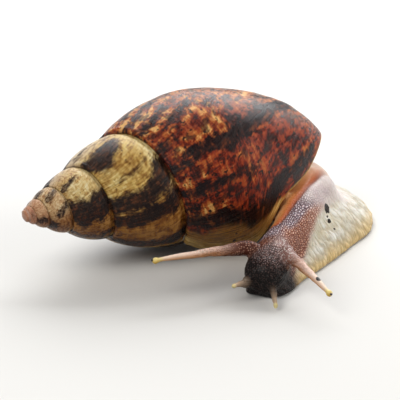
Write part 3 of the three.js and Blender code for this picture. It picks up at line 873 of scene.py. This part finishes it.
# %% Join the body's copies
FLESH = ["mantle_collar", "head", "neck", "trunk", "foot_front", "foot_middle", "tail",
         "upper_tentacle_left", "upper_tentacle_right", "lower_tentacle_left", "lower_tentacle_right"]
SWELL = 0.26 * MM
VOXEL = 0.56 * MM
WELD = 0.02 * MM


def copy_nodes(names):
    copies = []
    for name in names:
        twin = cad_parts[name].copy()
        twin.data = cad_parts[name].data.copy()
        twin.parent = None
        twin.hide_render = twin.hide_viewport = False
        for key in list(twin.keys()):
            del twin[key]
        bpy.context.scene.collection.objects.link(twin)
        copies.append(twin)
    return copies


def keep_largest():
    """Parts the active mesh into its closed surfaces, and deletes all but the largest."""
    edit_all()
    bpy.ops.mesh.separate(type="LOOSE")
    bpy.ops.object.mode_set(mode="OBJECT")
    parts = sorted(bpy.context.selected_objects, key=lambda part: -len(part.data.vertices))
    print("bubbles removed:", len(parts) - 1)
    select_only(*parts[1:])
    bpy.ops.object.delete()
    select_only(parts[0])
    return parts[0]


def swell_and_remesh():
    copies = copy_nodes(FLESH)
    body = join(copies[0], copies[1:])
    edit_all()
    bpy.ops.mesh.remove_doubles(threshold=WELD)
    bpy.ops.transform.shrink_fatten(value=SWELL)
    bpy.ops.object.mode_set(mode="OBJECT")
    remesh = body.modifiers.new("one_surface", "REMESH")
    remesh.mode, remesh.voxel_size = "VOXEL", VOXEL
    bpy.ops.object.modifier_apply(modifier="one_surface")
    body = keep_largest()
    body.name = "skin"
    return body


skin = swell_and_remesh()
print("skin:", len(skin.data.vertices), "points after the remesh")


# %% [markdown]
# ## Knowing where on the body a point is
#
# Colours and relief change along the body, which bends round under the shell.
# So each point gets body coordinates from two midlines, one of the foot and one of the neck:
# the distance along the midline, the distance to its side, and the turn round the neck.
# The midlines repeat the stations of the CAD body, in millimetres: x and y, then the foot's half width to the
# left and to the right, or the neck's height.

# %% Midlines
FOOT_LINE = [(17.2, -12.5, 4.5, 5.0), (19.8, -7.0, 7.5, 7.0), (23.3, 1.5, 7.6, 8.0), (27.3, 10.5, 9.0, 9.0),
             (32.0, 21.0, 10.3, 10.0), (37.0, 32.5, 11.3, 10.5), (40.8, 45.5, 14.2, 10.0),
             (36.5, 58.0, 16.5, 10.5), (20.0, 60.5, 12.0, 11.0), (2.0, 57.5, 10.5, 10.0),
             (-20.0, 57.5, 7.5, 7.5), (-43.0, 57.0, 1.2, 1.2)]
NECK_LINE = [(17.4, -15.5, 5.2), (18.6, -12.5, 6.4), (20.2, -7.0, 7.3), (21.8, 0.0, 7.8), (25.2, 9.0, 8.5),
             (29.2, 20.0, 10.0), (31.6, 31.0, 12.0), (31.0, 41.0, 13.0)]
LINE_POINTS, LINE_ROUNDS, BATCH = 240, 40, 20000


def soften_line(points, rounds):
    """Moves each point of a line towards its neighbours, some rounds in a row."""
    for _ in range(rounds):
        points[1:-1] = (points[:-2] + 2 * points[1:-1] + points[2:]) / 4


def fine_line(stations, count=LINE_POINTS):
    """Many points on a soft curve through the stations, and the distance to each along it."""
    stations = np.array(stations, float)
    rough = np.linspace(0, len(stations) - 1, count)
    points = np.stack([np.interp(rough, np.arange(len(stations)), column) for column in stations.T], 1)
    soften_line(points, LINE_ROUNDS)
    steps = np.linalg.norm(np.diff(points[:, :2], axis=0), axis=1)
    return points, np.concatenate([[0], np.cumsum(steps)])


def along_line(points, line, distances):
    """For each point in plan: the nearest station's row, the distance along, and the distance to the left."""
    nearest = np.zeros(len(points), int)
    for start in range(0, len(points), BATCH):
        part = points[start:start + BATCH, None, :2] - line[None, :, :2]
        nearest[start:start + BATCH] = (part ** 2).sum(-1).argmin(1)
    ahead = np.gradient(line[:, :2], axis=0)
    ahead /= np.linalg.norm(ahead, axis=1, keepdims=True)
    offset = points[:, :2] - line[nearest, :2]
    side = offset[:, 0] * -ahead[nearest, 1] + offset[:, 1] * ahead[nearest, 0]
    return nearest, distances[nearest] + (offset * ahead[nearest]).sum(1), side


def normals_of(piece):
    flat = np.zeros(len(piece.data.vertices) * 3)
    piece.data.vertex_normals.foreach_get("vector", flat)
    return flat.reshape(-1, 3)


def in_millimetres(points):
    return (points - HOME) / MM


FOOT_MID, FOOT_RUN = fine_line(FOOT_LINE)
NECK_MID, NECK_RUN = fine_line(NECK_LINE)
print("foot", round(FOOT_RUN[-1], 1), "mm long, neck", round(NECK_RUN[-1], 1), "mm")


# %% [markdown]
# The feelers are thin, and so is the foot's margin. Each would shrink away if it were smoothed as much as
# the rest, so a vertex group says how much of the smoothing each point gets.

# %% Feeler coordinates and smoothing
FEELERS = {
    "upper_left": ((24.2, -5.5, 11.8), (36.3, -28.5, 7.6)),
    "upper_right": ((16.0, -4.5, 12.2), (-13.0, -16.0, 12.6)),
    "lower_left": ((20.8, -14.0, 4.0), (21.4, -23.0, 1.3)),
    "lower_right": ((15.0, -13.0, 4.8), (9.2, -18.2, 5.8)),
}


def ends_of(name):
    return [np.array(end) for end in FEELERS[name]]


def along_feeler(points, name):
    """Distance along a feeler as a share of its length, and the distance from its middle line."""
    base, tip = ends_of(name)
    length = np.linalg.norm(tip - base)
    ahead = (tip - base) / length
    run = (points - base) @ ahead
    away = np.linalg.norm(points - base - run[:, None] * ahead, axis=1)
    return run / length, away


def on_feelers(points):
    """1 on a feeler, 0 on the body, with a soft change at the feeler's root."""
    share = np.zeros(len(points))
    for name in FEELERS:
        run, away = along_feeler(points, name)
        reach = 3.2 if name.startswith("upper") else 2.2
        share = np.maximum(share, fade(away, reach, reach + 0.8) * rise(run, 0.10, 0.26))
    return share


def smooth_skin(amounts, rounds, name="soften"):
    group = skin.vertex_groups.new(name=name)
    for level in np.unique(np.round(amounts, 1)):
        members = np.nonzero(np.abs(np.round(amounts, 1) - level) < 0.01)[0]
        group.add(members.tolist(), float(level), "REPLACE")
    select_only(skin)
    softer = skin.modifiers.new(name, "SMOOTH")
    softer.factor, softer.iterations, softer.vertex_group = 0.5, rounds, group.name
    bpy.ops.object.modifier_apply(modifier=name)
    skin.vertex_groups.remove(skin.vertex_groups[group.name])


def move_skin(points):
    skin.data.vertices.foreach_set("co", points.ravel())
    skin.data.update()


def shrink_skin(amount):
    """Moves the skin inwards, but never below the floor."""
    points = points_of(skin) - normals_of(skin) * np.reshape(amount, (-1, 1))
    points[:, 2] = np.maximum(points[:, 2], 0.0)
    move_skin(points)


def stalk_radius(share, length, name):
    """A feeler's thickness in millimetres: a wide root, a slender stalk and a round knob."""
    if name.startswith("upper"):
        places, radii = (0.0, 0.10, 0.20, 0.35, 0.57, 0.80, 0.93), (3.4, 2.5, 2.0, 1.6, 1.2, 0.86, 0.62)
        knob, end = 0.96, 0.60
    else:
        root = 1.9 if name == "lower_right" else 1.15
        places, radii = (0.0, 0.20, 0.50, 0.75, 0.90), (root + 0.6, root, 0.5 + 0.35 * root, 0.66, 0.52)
        knob, end = 0.72, 0.05
    stalk = np.interp(share, places, radii)
    from_middle = ((share - 1) * length - end + 1.05 * knob) / (1.1 * knob)
    ball = knob * np.sqrt(np.clip(1 - from_middle ** 2, 0, 1))
    return np.where(from_middle < 0, np.maximum(stalk, ball), np.maximum(ball, 0.05))


def shape_feeler(spots, name):
    """Carries a feeler's points out or in to its true thickness, round its own bent middle line."""
    base, tip = ends_of(name)
    upper = name.startswith("upper")
    share, away = along_feeler(spots, name)
    mine = (share > -0.05) & (share < 1.1) & (away < (4.2 if upper else 2.9))
    places = np.linspace(0.2, 1.0, 25)
    line = np.array([spots[mine & (np.abs(share - place) < 0.03) & (away < 3.0)].mean(0) for place in places])
    soften_line(line, 3)
    middle = np.stack([np.interp(share, places, column) for column in line.T], 1)
    ahead = (tip - base) / np.linalg.norm(tip - base)
    middle += ((spots - middle) @ ahead)[:, None] * ahead
    out = spots - middle
    now = np.linalg.norm(out, axis=1)
    wanted = stalk_radius(share, np.linalg.norm(tip - base), name)
    hold = rise(share, 0.10 if upper else 0.16, 0.34 if upper else 0.44)
    flare = (1 - hold) * rise(share, -0.05, 0.10)
    gain = np.where(mine, hold, 0) * (wanted - now) + np.where(mine, flare, 0) * np.clip(wanted - now, 0, 0.9)
    return spots + out / (now[:, None] + 1e-6) * gain[:, None]


def shape_skin():
    spots = in_millimetres(points_of(skin))
    feeler = on_feelers(spots)
    thin = fade(spots[:, 2], 0.8, 2.6) * rise(spots[:, 1], -14, -4)
    smooth_skin(np.clip(1 - feeler, 0.1, 1) * (1 - 0.75 * thin), 26)
    _, run, _ = along_line(spots, NECK_MID, NECK_RUN)
    bend = rise(run, 20, 30) * rise(spots[:, 2], 3, 7) * (spots[:, 0] > 14)
    smooth_skin(bend, 160, "bend")
    smooth_skin(np.full(len(spots), 0.5), 2, "even")
    shrink_skin(SWELL * (0.95 - 0.25 * feeler))
    spots = in_millimetres(points_of(skin))
    for name in FEELERS:
        spots = shape_feeler(spots, name)
    move_skin(spots * MM + HOME)
    smooth_skin(np.full(len(spots), 0.5), 2, "even")


shape_skin()
print("skin shaped, box", np.round(points_of(skin).min(0), 4), np.round(points_of(skin).max(0), 4))


# %% [markdown]
# The head, the neck and the feelers carry the finest relief, so only there each face is divided once more.

# %% Finer faces in front
def refine_front():
    spots = in_millimetres(points_of(skin))
    _, run, side = along_line(spots, NECK_MID, NECK_RUN)
    front = (run < 44) & (spots[:, 2] > 5.2) & (np.abs(side) < 12) | (on_feelers(spots) > 0.1)
    front |= (run < 9) & (np.abs(side) < 9)
    select_only(skin)
    bpy.ops.object.mode_set(mode="EDIT")
    bpy.ops.mesh.select_all(action="DESELECT")
    bpy.ops.mesh.select_mode(type="VERT")
    bpy.ops.object.mode_set(mode="OBJECT")
    skin.data.vertices.foreach_set("select", front)
    bpy.ops.object.mode_set(mode="EDIT")
    bpy.ops.mesh.select_mode(type="FACE")
    bpy.ops.mesh.subdivide(number_cuts=1, smoothness=0.0)
    bpy.ops.object.mode_set(mode="OBJECT")
    print("skin:", sum(len(p.vertices) - 2 for p in skin.data.polygons), "triangles")


refine_front()


# %% [markdown]
# ## What each place on the skin is
#
# Masks from 0 to 1 say what a point belongs to: neck, head, feeler, trunk, foot margin, mantle collar.
# The relief and the material both read them, so that bumps and colours always agree.

# %% Masks of the skin
# Height of the border between neck and foot for some distances along the neck, and the groove that
# parts the neck from the mantle collar, in plan. All in millimetres.
NECK_BORDER = ((5, 14, 24, 28.5, 35, 40, 47, 54), (0.5, 3.0, 5.8, 8.0, 10.1, 12.4, 13.4, 16.5))
COLLAR_GROOVE = [(22.9, 7.5), (26.0, 14.0), (28.1, 19.4), (30.1, 22.8), (31.7, 26.1), (33.7, 30.0),
                 (35.8, 34.0)]
# Where along an upper feeler its root is measured, as shares of its length.
ROOT_SHARES = (-0.12, -0.04, 0.04, 0.12, 0.20)
FAR = 99.0


def nearest_of(spots, targets):
    """The distance from each spot to the nearest of the targets."""
    near = np.full(len(spots), FAR)
    for target in targets:
        near = np.minimum(near, np.linalg.norm(spots - target, axis=1))
    return near


def body_places():
    """Everything that the masks and the relief need, for each point of the skin, in millimetres."""
    spots = in_millimetres(points_of(skin))
    place = {"spots": spots, "feeler": on_feelers(spots)}
    rows, place["run"], side = along_line(spots, NECK_MID, NECK_RUN)
    place["side"] = side
    place["turn"] = np.arctan2(side, spots[:, 2] - NECK_MID[rows, 2])
    rows, place["foot_run"], foot_side = along_line(spots, FOOT_MID, FOOT_RUN)
    half = np.where(foot_side > 0, FOOT_MID[rows, 2], FOOT_MID[rows, 3])
    place["from_rim"] = np.hypot(np.clip(half - np.abs(foot_side), 0, None), spots[:, 2])
    lip = in_millimetres(STRIP[ROOM_LINES + FOLD_LINES - 1, :ACROSS_ROWS])
    place["to_lip"] = nearest_of(spots, lip)
    return place


def beside(spots, line):
    """How far a point lies to the left of a line in plan."""
    line, distances = fine_line([(x, y, 0) for x, y in line], 80)
    return along_line(spots, line, distances)[2]


def root_mask(spots):
    """1 where an upper feeler grows out of the head, fading over a few millimetres."""
    roots = []
    for name in ("upper_left", "upper_right"):
        base, tip = ends_of(name)
        roots += [base + share * (tip - base) for share in ROOT_SHARES]
    return fade(nearest_of(spots, roots), 1.9, 4.6)


def feeler_masks(spots, feeler):
    """How far out on a feeler a point is, as a share of its length, and whether it is a lower one."""
    reach, lower = np.zeros(len(spots)), np.zeros(len(spots))
    for name in FEELERS:
        share, away = along_feeler(spots, name)
        near = (away < (3.4 if name.startswith("upper") else 2.3)) & (share > 0.02)
        reach = np.where(near, np.maximum(reach, np.clip(share, 0, 1.05)), reach)
        if name.startswith("lower"):
            lower = np.maximum(lower, near)
    on_it = rise(feeler, 0.0, 0.6)
    return reach * on_it, lower * on_it


def skin_masks(place):
    run, turn, foot_run = place["run"], place["turn"], place["foot_run"]
    spots = place["spots"]
    x, y, height = spots.T
    wander = 1.6 * (hills(foot_run / 5, height / 4, 31) - 0.5)
    from_groove = beside(spots, COLLAR_GROOVE)
    by_lip = fade(place["to_lip"], 9, 15) * rise(height, 6, 10) * rise(y, 3, 10)
    in_groove = np.abs(from_groove + 2.2)
    low_down, up_right = fade(height, 4, 10), height + 0.25 * x
    round_right = run + 10 * np.clip(turn + 0.3, -1.2, 0)
    above_border = height - np.interp(run, *NECK_BORDER) + 0.8 * wander
    neck = rise(above_border, -1.3, 1.3) * fade(run, 50, 60)
    shaded = rise(turn + 0.25 * wander, -0.40, 0.25) * fade(turn, 1.1, 1.7)
    trunk = rise(round_right + 1.5 * wander, 38, 47) * rise(height, 7.0, 13.0)
    wedge = fade(in_groove, 1.5, 3.8) * rise(y, 18, 27) * rise(height, 9, 13)
    root = root_mask(spots)
    feeler, lower = feeler_masks(spots, place["feeler"])
    masks = {
        "neck": np.maximum(neck, fade(foot_run + 1.5 * wander, 9.0, 17.0)),
        "head": fade(run + 2.2 * wander - 0.35 * np.clip(height - 8, -4, 8), 7.5, 20),
        # The snout's own dark colour, drawn out low on the head and under the feelers as painted shade.
        "dark": fade(run - 4 * low_down, 5, 15) * (1 - 0.85 * rise(up_right, 13.5, 19)),
        "trunk": np.maximum(trunk, 0.75 * wedge),
        "collar": np.clip((from_groove + 1) / 6, 0, 1) * by_lip,
        "groove_line": np.exp(-(from_groove / 0.8) ** 2) * by_lip,
        "top_end": rise(y, 33, 44),
        "upper_neck": rise(run - 4 * turn, 30, 46),
        "rim": fade(place["from_rim"] + 1.2 * wander, 0.8, 6.4),
        "shaded": np.maximum(shaded, fade(in_groove, 1.4, 2.8) * rise(y, 2, 8)),
        "root": root,
        "snout": np.maximum(fade(run + 0.8 * (height - 8), 6, 11), rise(root, 0.15, 0.7)),
        "feeler": feeler,
        "lower": lower,
    }
    bare = fade(feeler, 0.35, 0.8)
    collar = rise(masks["collar"], 0.05, 0.3)
    masks["rough"] = masks["neck"] * (1 - 0.85 * masks["trunk"]) * (1 - 0.8 * collar) * bare
    return masks


PLACE = body_places()
MASKS = skin_masks(PLACE)
print("masks:", {name: round(float(mask.mean()), 3) for name, mask in MASKS.items()})


# %% [markdown]
# ## Relief of the skin
#
# Neck and head carry long furrows between rows of tubercles; the tubercles themselves are too small for the
# mesh, and the material adds them. The foot is a mesh of grooves that run out to its margin, with fine
# pleats along the very edge. Every groove is cut inwards, so the skin stays inside the CAD body.

# %% Carve the skin
NECK_RADIUS = 6.4
# Size of the foot's fields in millimetres, along the foot and in from its margin, and the pleats'.
FIELDS, FINE_FIELDS, PLEATS = (2.4, 4.6), (1.1, 2.2), (0.8, 6)
# Depths in millimetres.
FURROW, FOOT_GROOVE, FINE_GROOVE, PLEAT, COLLAR_EDGE, TRUNK_RIPPLE = 0.22, 0.34, 0.07, 0.25, 0.40, 0.10


def furrows(place):
    """1 in the long furrows between the rows of tubercles, and 0 on the rows."""
    around = place["turn"] * NECK_RADIUS
    sway = 0.5 * (hills(place["run"] / 6, around / 5, 41) - 0.5)
    edge, _ = cells(place["run"] / 4.0, around / 1.5 + sway, 42)
    return fade(edge, 0.0, 0.5)


def foot_mesh(place):
    """0 on the foot's fields and 1 in the grooves between them, coarse and fine."""
    run, rim = place["foot_run"], place["from_rim"]
    swayed = run + 2.2 * (hills(run / 3, rim / 3, 44) - 0.5)
    edge, _ = cells(swayed / FIELDS[0], rim / FIELDS[1], 45, 0.95)
    fine, _ = cells(swayed / FINE_FIELDS[0], rim / FINE_FIELDS[1], 46)
    calm = 1 - 0.6 * rise(place["spots"][:, 2], 6, 12)
    return calm * fade(edge, 0.0, 0.5), calm * fade(fine, 0.0, 0.45)


def mouth(place):
    """The small upright mouth between the lower feelers, and the fold above the lips, as depth."""
    aside, height = place["side"], place["spots"][:, 2]
    front = fade(place["run"], -0.5, 2.5)
    slit = 0.45 * np.exp(-(aside / 0.32) ** 2) * rise(height, 0.6, 1.2) * fade(height, 2.4, 3.2)
    fold = 0.25 * np.exp(-((height - 3.1 - 0.12 * np.abs(aside)) / 0.35) ** 2)
    return front * (slit + fold * fade(np.abs(aside), 1.6, 2.6))


def carve_skin():
    place, masks = PLACE, MASKS
    groove, fine = foot_mesh(place)
    foot = (1 - masks["neck"]) * (1 - masks["trunk"]) * fade(masks["feeler"], 0.1, 0.3)
    pleats = hills(place["foot_run"] / PLEATS[0], place["from_rim"] / PLEATS[1], 47)
    ripples = hills(place["run"] / 0.9, place["turn"] * 4, 48)
    depth = masks["rough"] * FURROW * furrows(place) + foot * (FOOT_GROOVE * groove + FINE_GROOVE * fine)
    depth += masks["rim"] * foot * PLEAT * pleats + COLLAR_EDGE * masks["groove_line"]
    depth += mouth(place) + masks["trunk"] * TRUNK_RIPPLE * ripples
    off_ground = rise(place["spots"][:, 2], 0.1, 0.5)
    shrink_skin(depth * off_ground * MM)
    for name, values in dict(masks, groove=groove, fine_groove=fine).items():
        set_attribute(skin, name + "_mask", values)
    # Share of painted top light: 1 where the skin faces up, for the lit feeler colours, and 0 where it faces
    # down, for the shaded ones.
    set_attribute(skin, "painted_top_light", rise(normals_of(skin)[:, 2], -0.3, 0.8))
    set_attribute(skin, "along_body", place["run"])
    set_attribute(skin, "round_body", place["turn"] * NECK_RADIUS)
    set_attribute(skin, "along_foot", place["foot_run"])
    set_attribute(skin, "from_rim", place["from_rim"])
    print("deepest groove:", round(float(depth.max()), 2), "mm")


carve_skin()


# %% [markdown]
# ## The skin's finish
#
# The skin is moist and a little translucent, so it gets some subsurface light and a faint clear coat.
# Its colour runs from a dark snout, with painted shade low on the head, over a reddish brown neck, greyer
# where it is shaded by the shell, to a cream foot with a yellow margin and fine creases across it; the foot's
# grooves and creases are painted darker as shade. Pale tips of the tubercles stand out against darker
# grooves. The upper feelers are painted paler on top as a highlight and darker underneath as shade. The
# mantle collar is orange, with painted shade by the neck and painted light on its crest. Some crumbs of soil
# stick to the foot and to one feeler.

# %% Skin material
# Each layer of the neck from the bottom up: its mask, then how strongly and in which colour it shows in the
# grooves, and the same for the tubercles. The dark layer is the snout's own dark colour together with painted
# shade low on the head.
NECK_LAYERS = [("shaded", 0.9, "503a44", 0.85, "dacbd4"), ("head", 1.0, "331812", 1.0, "a4807a"),
               ("dark", 1.0, "080303", 1.0, "4c3c38")]
# Reddish and sandy grooves, and the grooves high on the neck; then the same for the tubercles.
NECK_GROOVES, NECK_TIPS = ("672a17", "824028", "a26c58"), ("cc9278", "e0ae94", "ecc4b0")
# A feeler's root, in light and in the shade of its own top side: grooves, then tubercles.
ROOT_GROOVES, ROOT_TIPS = ("8e6860", "54281c"), ("f0e0da", "b8846c")
TRUNK_TONES, FOOT_TONES = ("d2c0c0", "e2d5d0"), ("dcd5c2", "ebe9e2")
# Marks on the foot: mask, share and colour. The two groove marks are painted shade in the foot's coarse and
# fine grooves.
FOOT_MARKS = [("rim_mask", 0.85, "f2cd84"), ("groove_mask", 0.38, "93815c"),
              ("fine_groove_mask", 0.14, "9a8a66")]
# The mantle collar's orange, with painted shade, darker and redder, towards the groove by the neck, and
# painted light, paler, on its crest by the lip.
COLLAR_SHADE_TO_LIGHT = ((0.04, "8a5f5a"), (0.15, "8a4a34"), (0.28, "bc653c"), (0.50, "da8c52"), (0.76, "e6ac76"),
          (1.0, "d6965e"))
# Colours of the feelers from root to tip. The upper feelers have a lit copy, painted paler as a highlight on
# their top side, and a shaded copy, painted darker on their underside.
UPPER_FEELER_SHADED = (0.16, "74442f"), (0.34, "b07650"), (0.62, "cf9468"), (0.90, "d8a67c"), (0.96, "dcb85e")
UPPER_FEELER_LIT = (0.16, "a88478"), (0.34, "cfa695"), (0.62, "e6c9b8"), (0.90, "ecd2bc"), (0.96, "e6cf86")
LOWER_FEELER = (0.20, "4c3a2e"), (0.50, "8a7664"), (0.84, "b89c82"), (0.94, "d8c891")
# The crumbs of soil: place and radius in millimetres.
CRUMBS = [((38.9, 28.8, 12.1), 1.40), ((38.2, 27.6, 11.2), 0.55), ((39.3, 25.0, 9.4), 0.75),
          ((38.5, 26.2, 10.2), 0.45), ((40.9, 24.0, 7.2), 0.40), ((33.4, -22.7, 9.9), 0.75)]
SOIL = "060302", "24150d"


def tubercles(m):
    """1 on top of a tubercle and 0 round it: long ones in rows on the neck, small round ones on the snout."""
    sway = m.times(m.noise(m.solid(220), 1), 1.2)
    rows = m.plus(m.maths("DIVIDE", m.stored("round_body"), 0.66), sway)
    place = m.node("CombineXYZ", {0: m.maths("DIVIDE", m.stored("along_body"), 1.30), 1: rows})
    long = m.between(m.packed(place, "DISTANCE_TO_EDGE", "2D", 0.8), 0.05, 0.34)
    small = m.between(m.packed(m.solid(1620), "F1", "3D", 0.75), 0.52, 0.24)
    return m.blend(m.stored("snout_mask"), long, small)


def creases(m):
    """1 in the thin creases that run across the foot to its margin, and 0 between them."""
    sway = m.times(m.noise(m.solid(140), 2), 1.6)
    along = m.plus(m.maths("DIVIDE", m.stored("along_foot"), 1.5), sway)
    place = m.node("CombineXYZ", {0: along, 1: m.maths("DIVIDE", m.stored("from_rim"), 4.6)})
    line = m.between(m.packed(place, "DISTANCE_TO_EDGE", "2D", 0.8), 0.24, 0.0)
    return m.times(line, m.minus(1.0, m.stored("neck_mask")))


def soil_crumbs(m, noise):
    """1 where a crumb of soil sticks to the skin."""
    soil, place = 0.0, m.node("TexCoord", {}, "Object")
    for spot, radius in CRUMBS:
        offset = m.node("VectorMath", {0: place, 1: at(*spot)}, operation="SUBTRACT")
        offset = m.node("VectorMath", {0: offset, 1: (1.0, 0.7, 1.0)}, operation="MULTIPLY")
        away = m.maths("DIVIDE", m.node("VectorMath", {0: offset}, "Value", operation="LENGTH"), radius * MM)
        away = m.plus(away, m.minus(noise, 0.5))
        soil = m.maths("MAXIMUM", soil, m.between(away, 1.1, 0.9))
    return soil


def two_tone(m, factor, codes):
    return m.mix(factor, linear(codes[0]), linear(codes[1]))


def neck_colour(m, uneven, tip):
    """Grooves and tubercles are coloured by the same layers, and the tips then mix the two."""
    shaded, upper, root = m.stored("shaded_mask"), m.stored("upper_neck_mask"), m.stored("root_mask")
    both = []
    for place, (tones, root_tones) in enumerate(((NECK_GROOVES, ROOT_GROOVES), (NECK_TIPS, ROOT_TIPS))):
        colour = m.mix(upper, two_tone(m, uneven, tones), linear(tones[2]))
        for name, *looks in NECK_LAYERS:
            colour = m.stain(colour, m.stored(name + "_mask"), *looks[2 * place:2 * place + 2])
        both.append(m.mix(root, colour, two_tone(m, shaded, root_tones)))
    return m.mix(tip, *both)


def foot_colour(m, uneven, crease):
    foot = two_tone(m, uneven, FOOT_TONES)
    for name, share, code in FOOT_MARKS:
        foot = m.stain(foot, m.stored(name), share, code)
    # Painted shade in the thin creases across the foot.
    return m.stain(foot, crease, 0.26, "ac935e")


def feeler_colour(m):
    reach = m.stored("feeler_mask")
    # Lit and shaded copies: a painted highlight on top of the upper feelers and painted shade underneath.
    upper = m.mix(m.stored("painted_top_light"), m.ramp(reach, *UPPER_FEELER_SHADED), m.ramp(reach, *UPPER_FEELER_LIT))
    return m.mix(m.stored("lower_mask"), upper, m.ramp(reach, *LOWER_FEELER))


def skin_material():
    m = Mixture("snail_skin")
    noise = m.noise(m.solid(900), 4, 0.6)
    uneven = m.between(m.noise(m.solid(160), 3, 0.55), 0.35, 0.65)
    pebble, crease = tubercles(m), creases(m)
    tip = m.times(pebble, m.between(noise, 0.15, 0.6))
    flesh = m.mix(m.stored("neck_mask"), foot_colour(m, uneven, crease), neck_colour(m, uneven, tip))
    flesh = m.mix(m.stored("trunk_mask"), flesh, two_tone(m, uneven, TRUNK_TONES))
    # The collar's colour, with painted shade by the groove and painted light on its crest.
    collar = m.ramp(m.stored("collar_mask"), *COLLAR_SHADE_TO_LIGHT)
    collar = m.mix(m.stored("top_end_mask"), collar, linear("e6cdbf"))
    flesh = m.mix(m.between(m.stored("collar_mask"), 0.02, 0.18), flesh, collar)
    flesh = m.mix(m.between(m.stored("feeler_mask"), 0.12, 0.45), flesh, feeler_colour(m))
    flesh = m.stain(flesh, m.between(noise, 0.45, 0.75), 0.12, "3a2620")
    flesh = m.mix(soil_crumbs(m, noise), flesh, two_tone(m, noise, SOIL))
    height = m.total((m.noise(m.solid(2200), 3, 0.6), 0.22), (noise, 0.25), (m.stored("rough_mask"), pebble),
                     (crease, -0.5))
    gloss = m.node("MapRange", {0: noise, 1: 0.3, 2: 0.7, 3: 0.34, 4: 0.50})
    return m.finish(Base_Color=flesh, Roughness=gloss, Normal=m.bump(height, 0.30 * MM, 0.9),
                    Coat_Weight=0.03, Coat_Roughness=0.2, Subsurface_Weight=0.10, Specular_IOR_Level=0.18,
                    Subsurface_Radius=(1.0, 0.45, 0.3), Subsurface_Scale=0.7 * MM)


skin.data.materials.clear()
skin.data.materials.append(skin_material())
select_only(skin)
bpy.ops.object.shade_smooth()
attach(skin, "root")
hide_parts(*FLESH)
print("skin finished")


# %% [markdown]
# ## Eyes
#
# Each eye is a tiny dark bead at the end of an upper feeler, half sunk in the knob. The CAD's beads have
# few faces, so a finer ball of the same size and place stands in for each, with a wet, almost black finish.

# %% Eyes
EYE_TONES = (0.35, "0b0808"), (0.65, "2a1a14")


def eye_material():
    m = Mixture("snail_eye")
    spot = m.noise(m.solid(3000), 2, 0.5)
    return m.finish(Base_Color=m.ramp(spot, *EYE_TONES), Roughness=0.12, Coat_Weight=0.6, Coat_Roughness=0.05,
                    Normal=m.bump(spot, 0.01 * MM, 0.3))


def make_eye(name, finish):
    points = points_of(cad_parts[name])
    middle = (points.min(0) + points.max(0)) / 2
    radius = np.linalg.norm(points - middle, axis=1).max()
    ball = add_ball(name + "_ball", radius, 32, 20)
    ball.data.transform(Matrix.Translation(middle))
    ball.data.materials.append(finish)
    bpy.ops.object.shade_smooth()
    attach(ball, "root")
    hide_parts(name)
    print(name, "radius", round(radius / MM, 2), "mm at", np.round(middle / MM, 1))


eye_finish = eye_material()
for name in ("eye_left", "eye_right"):
    make_eye(name, eye_finish)
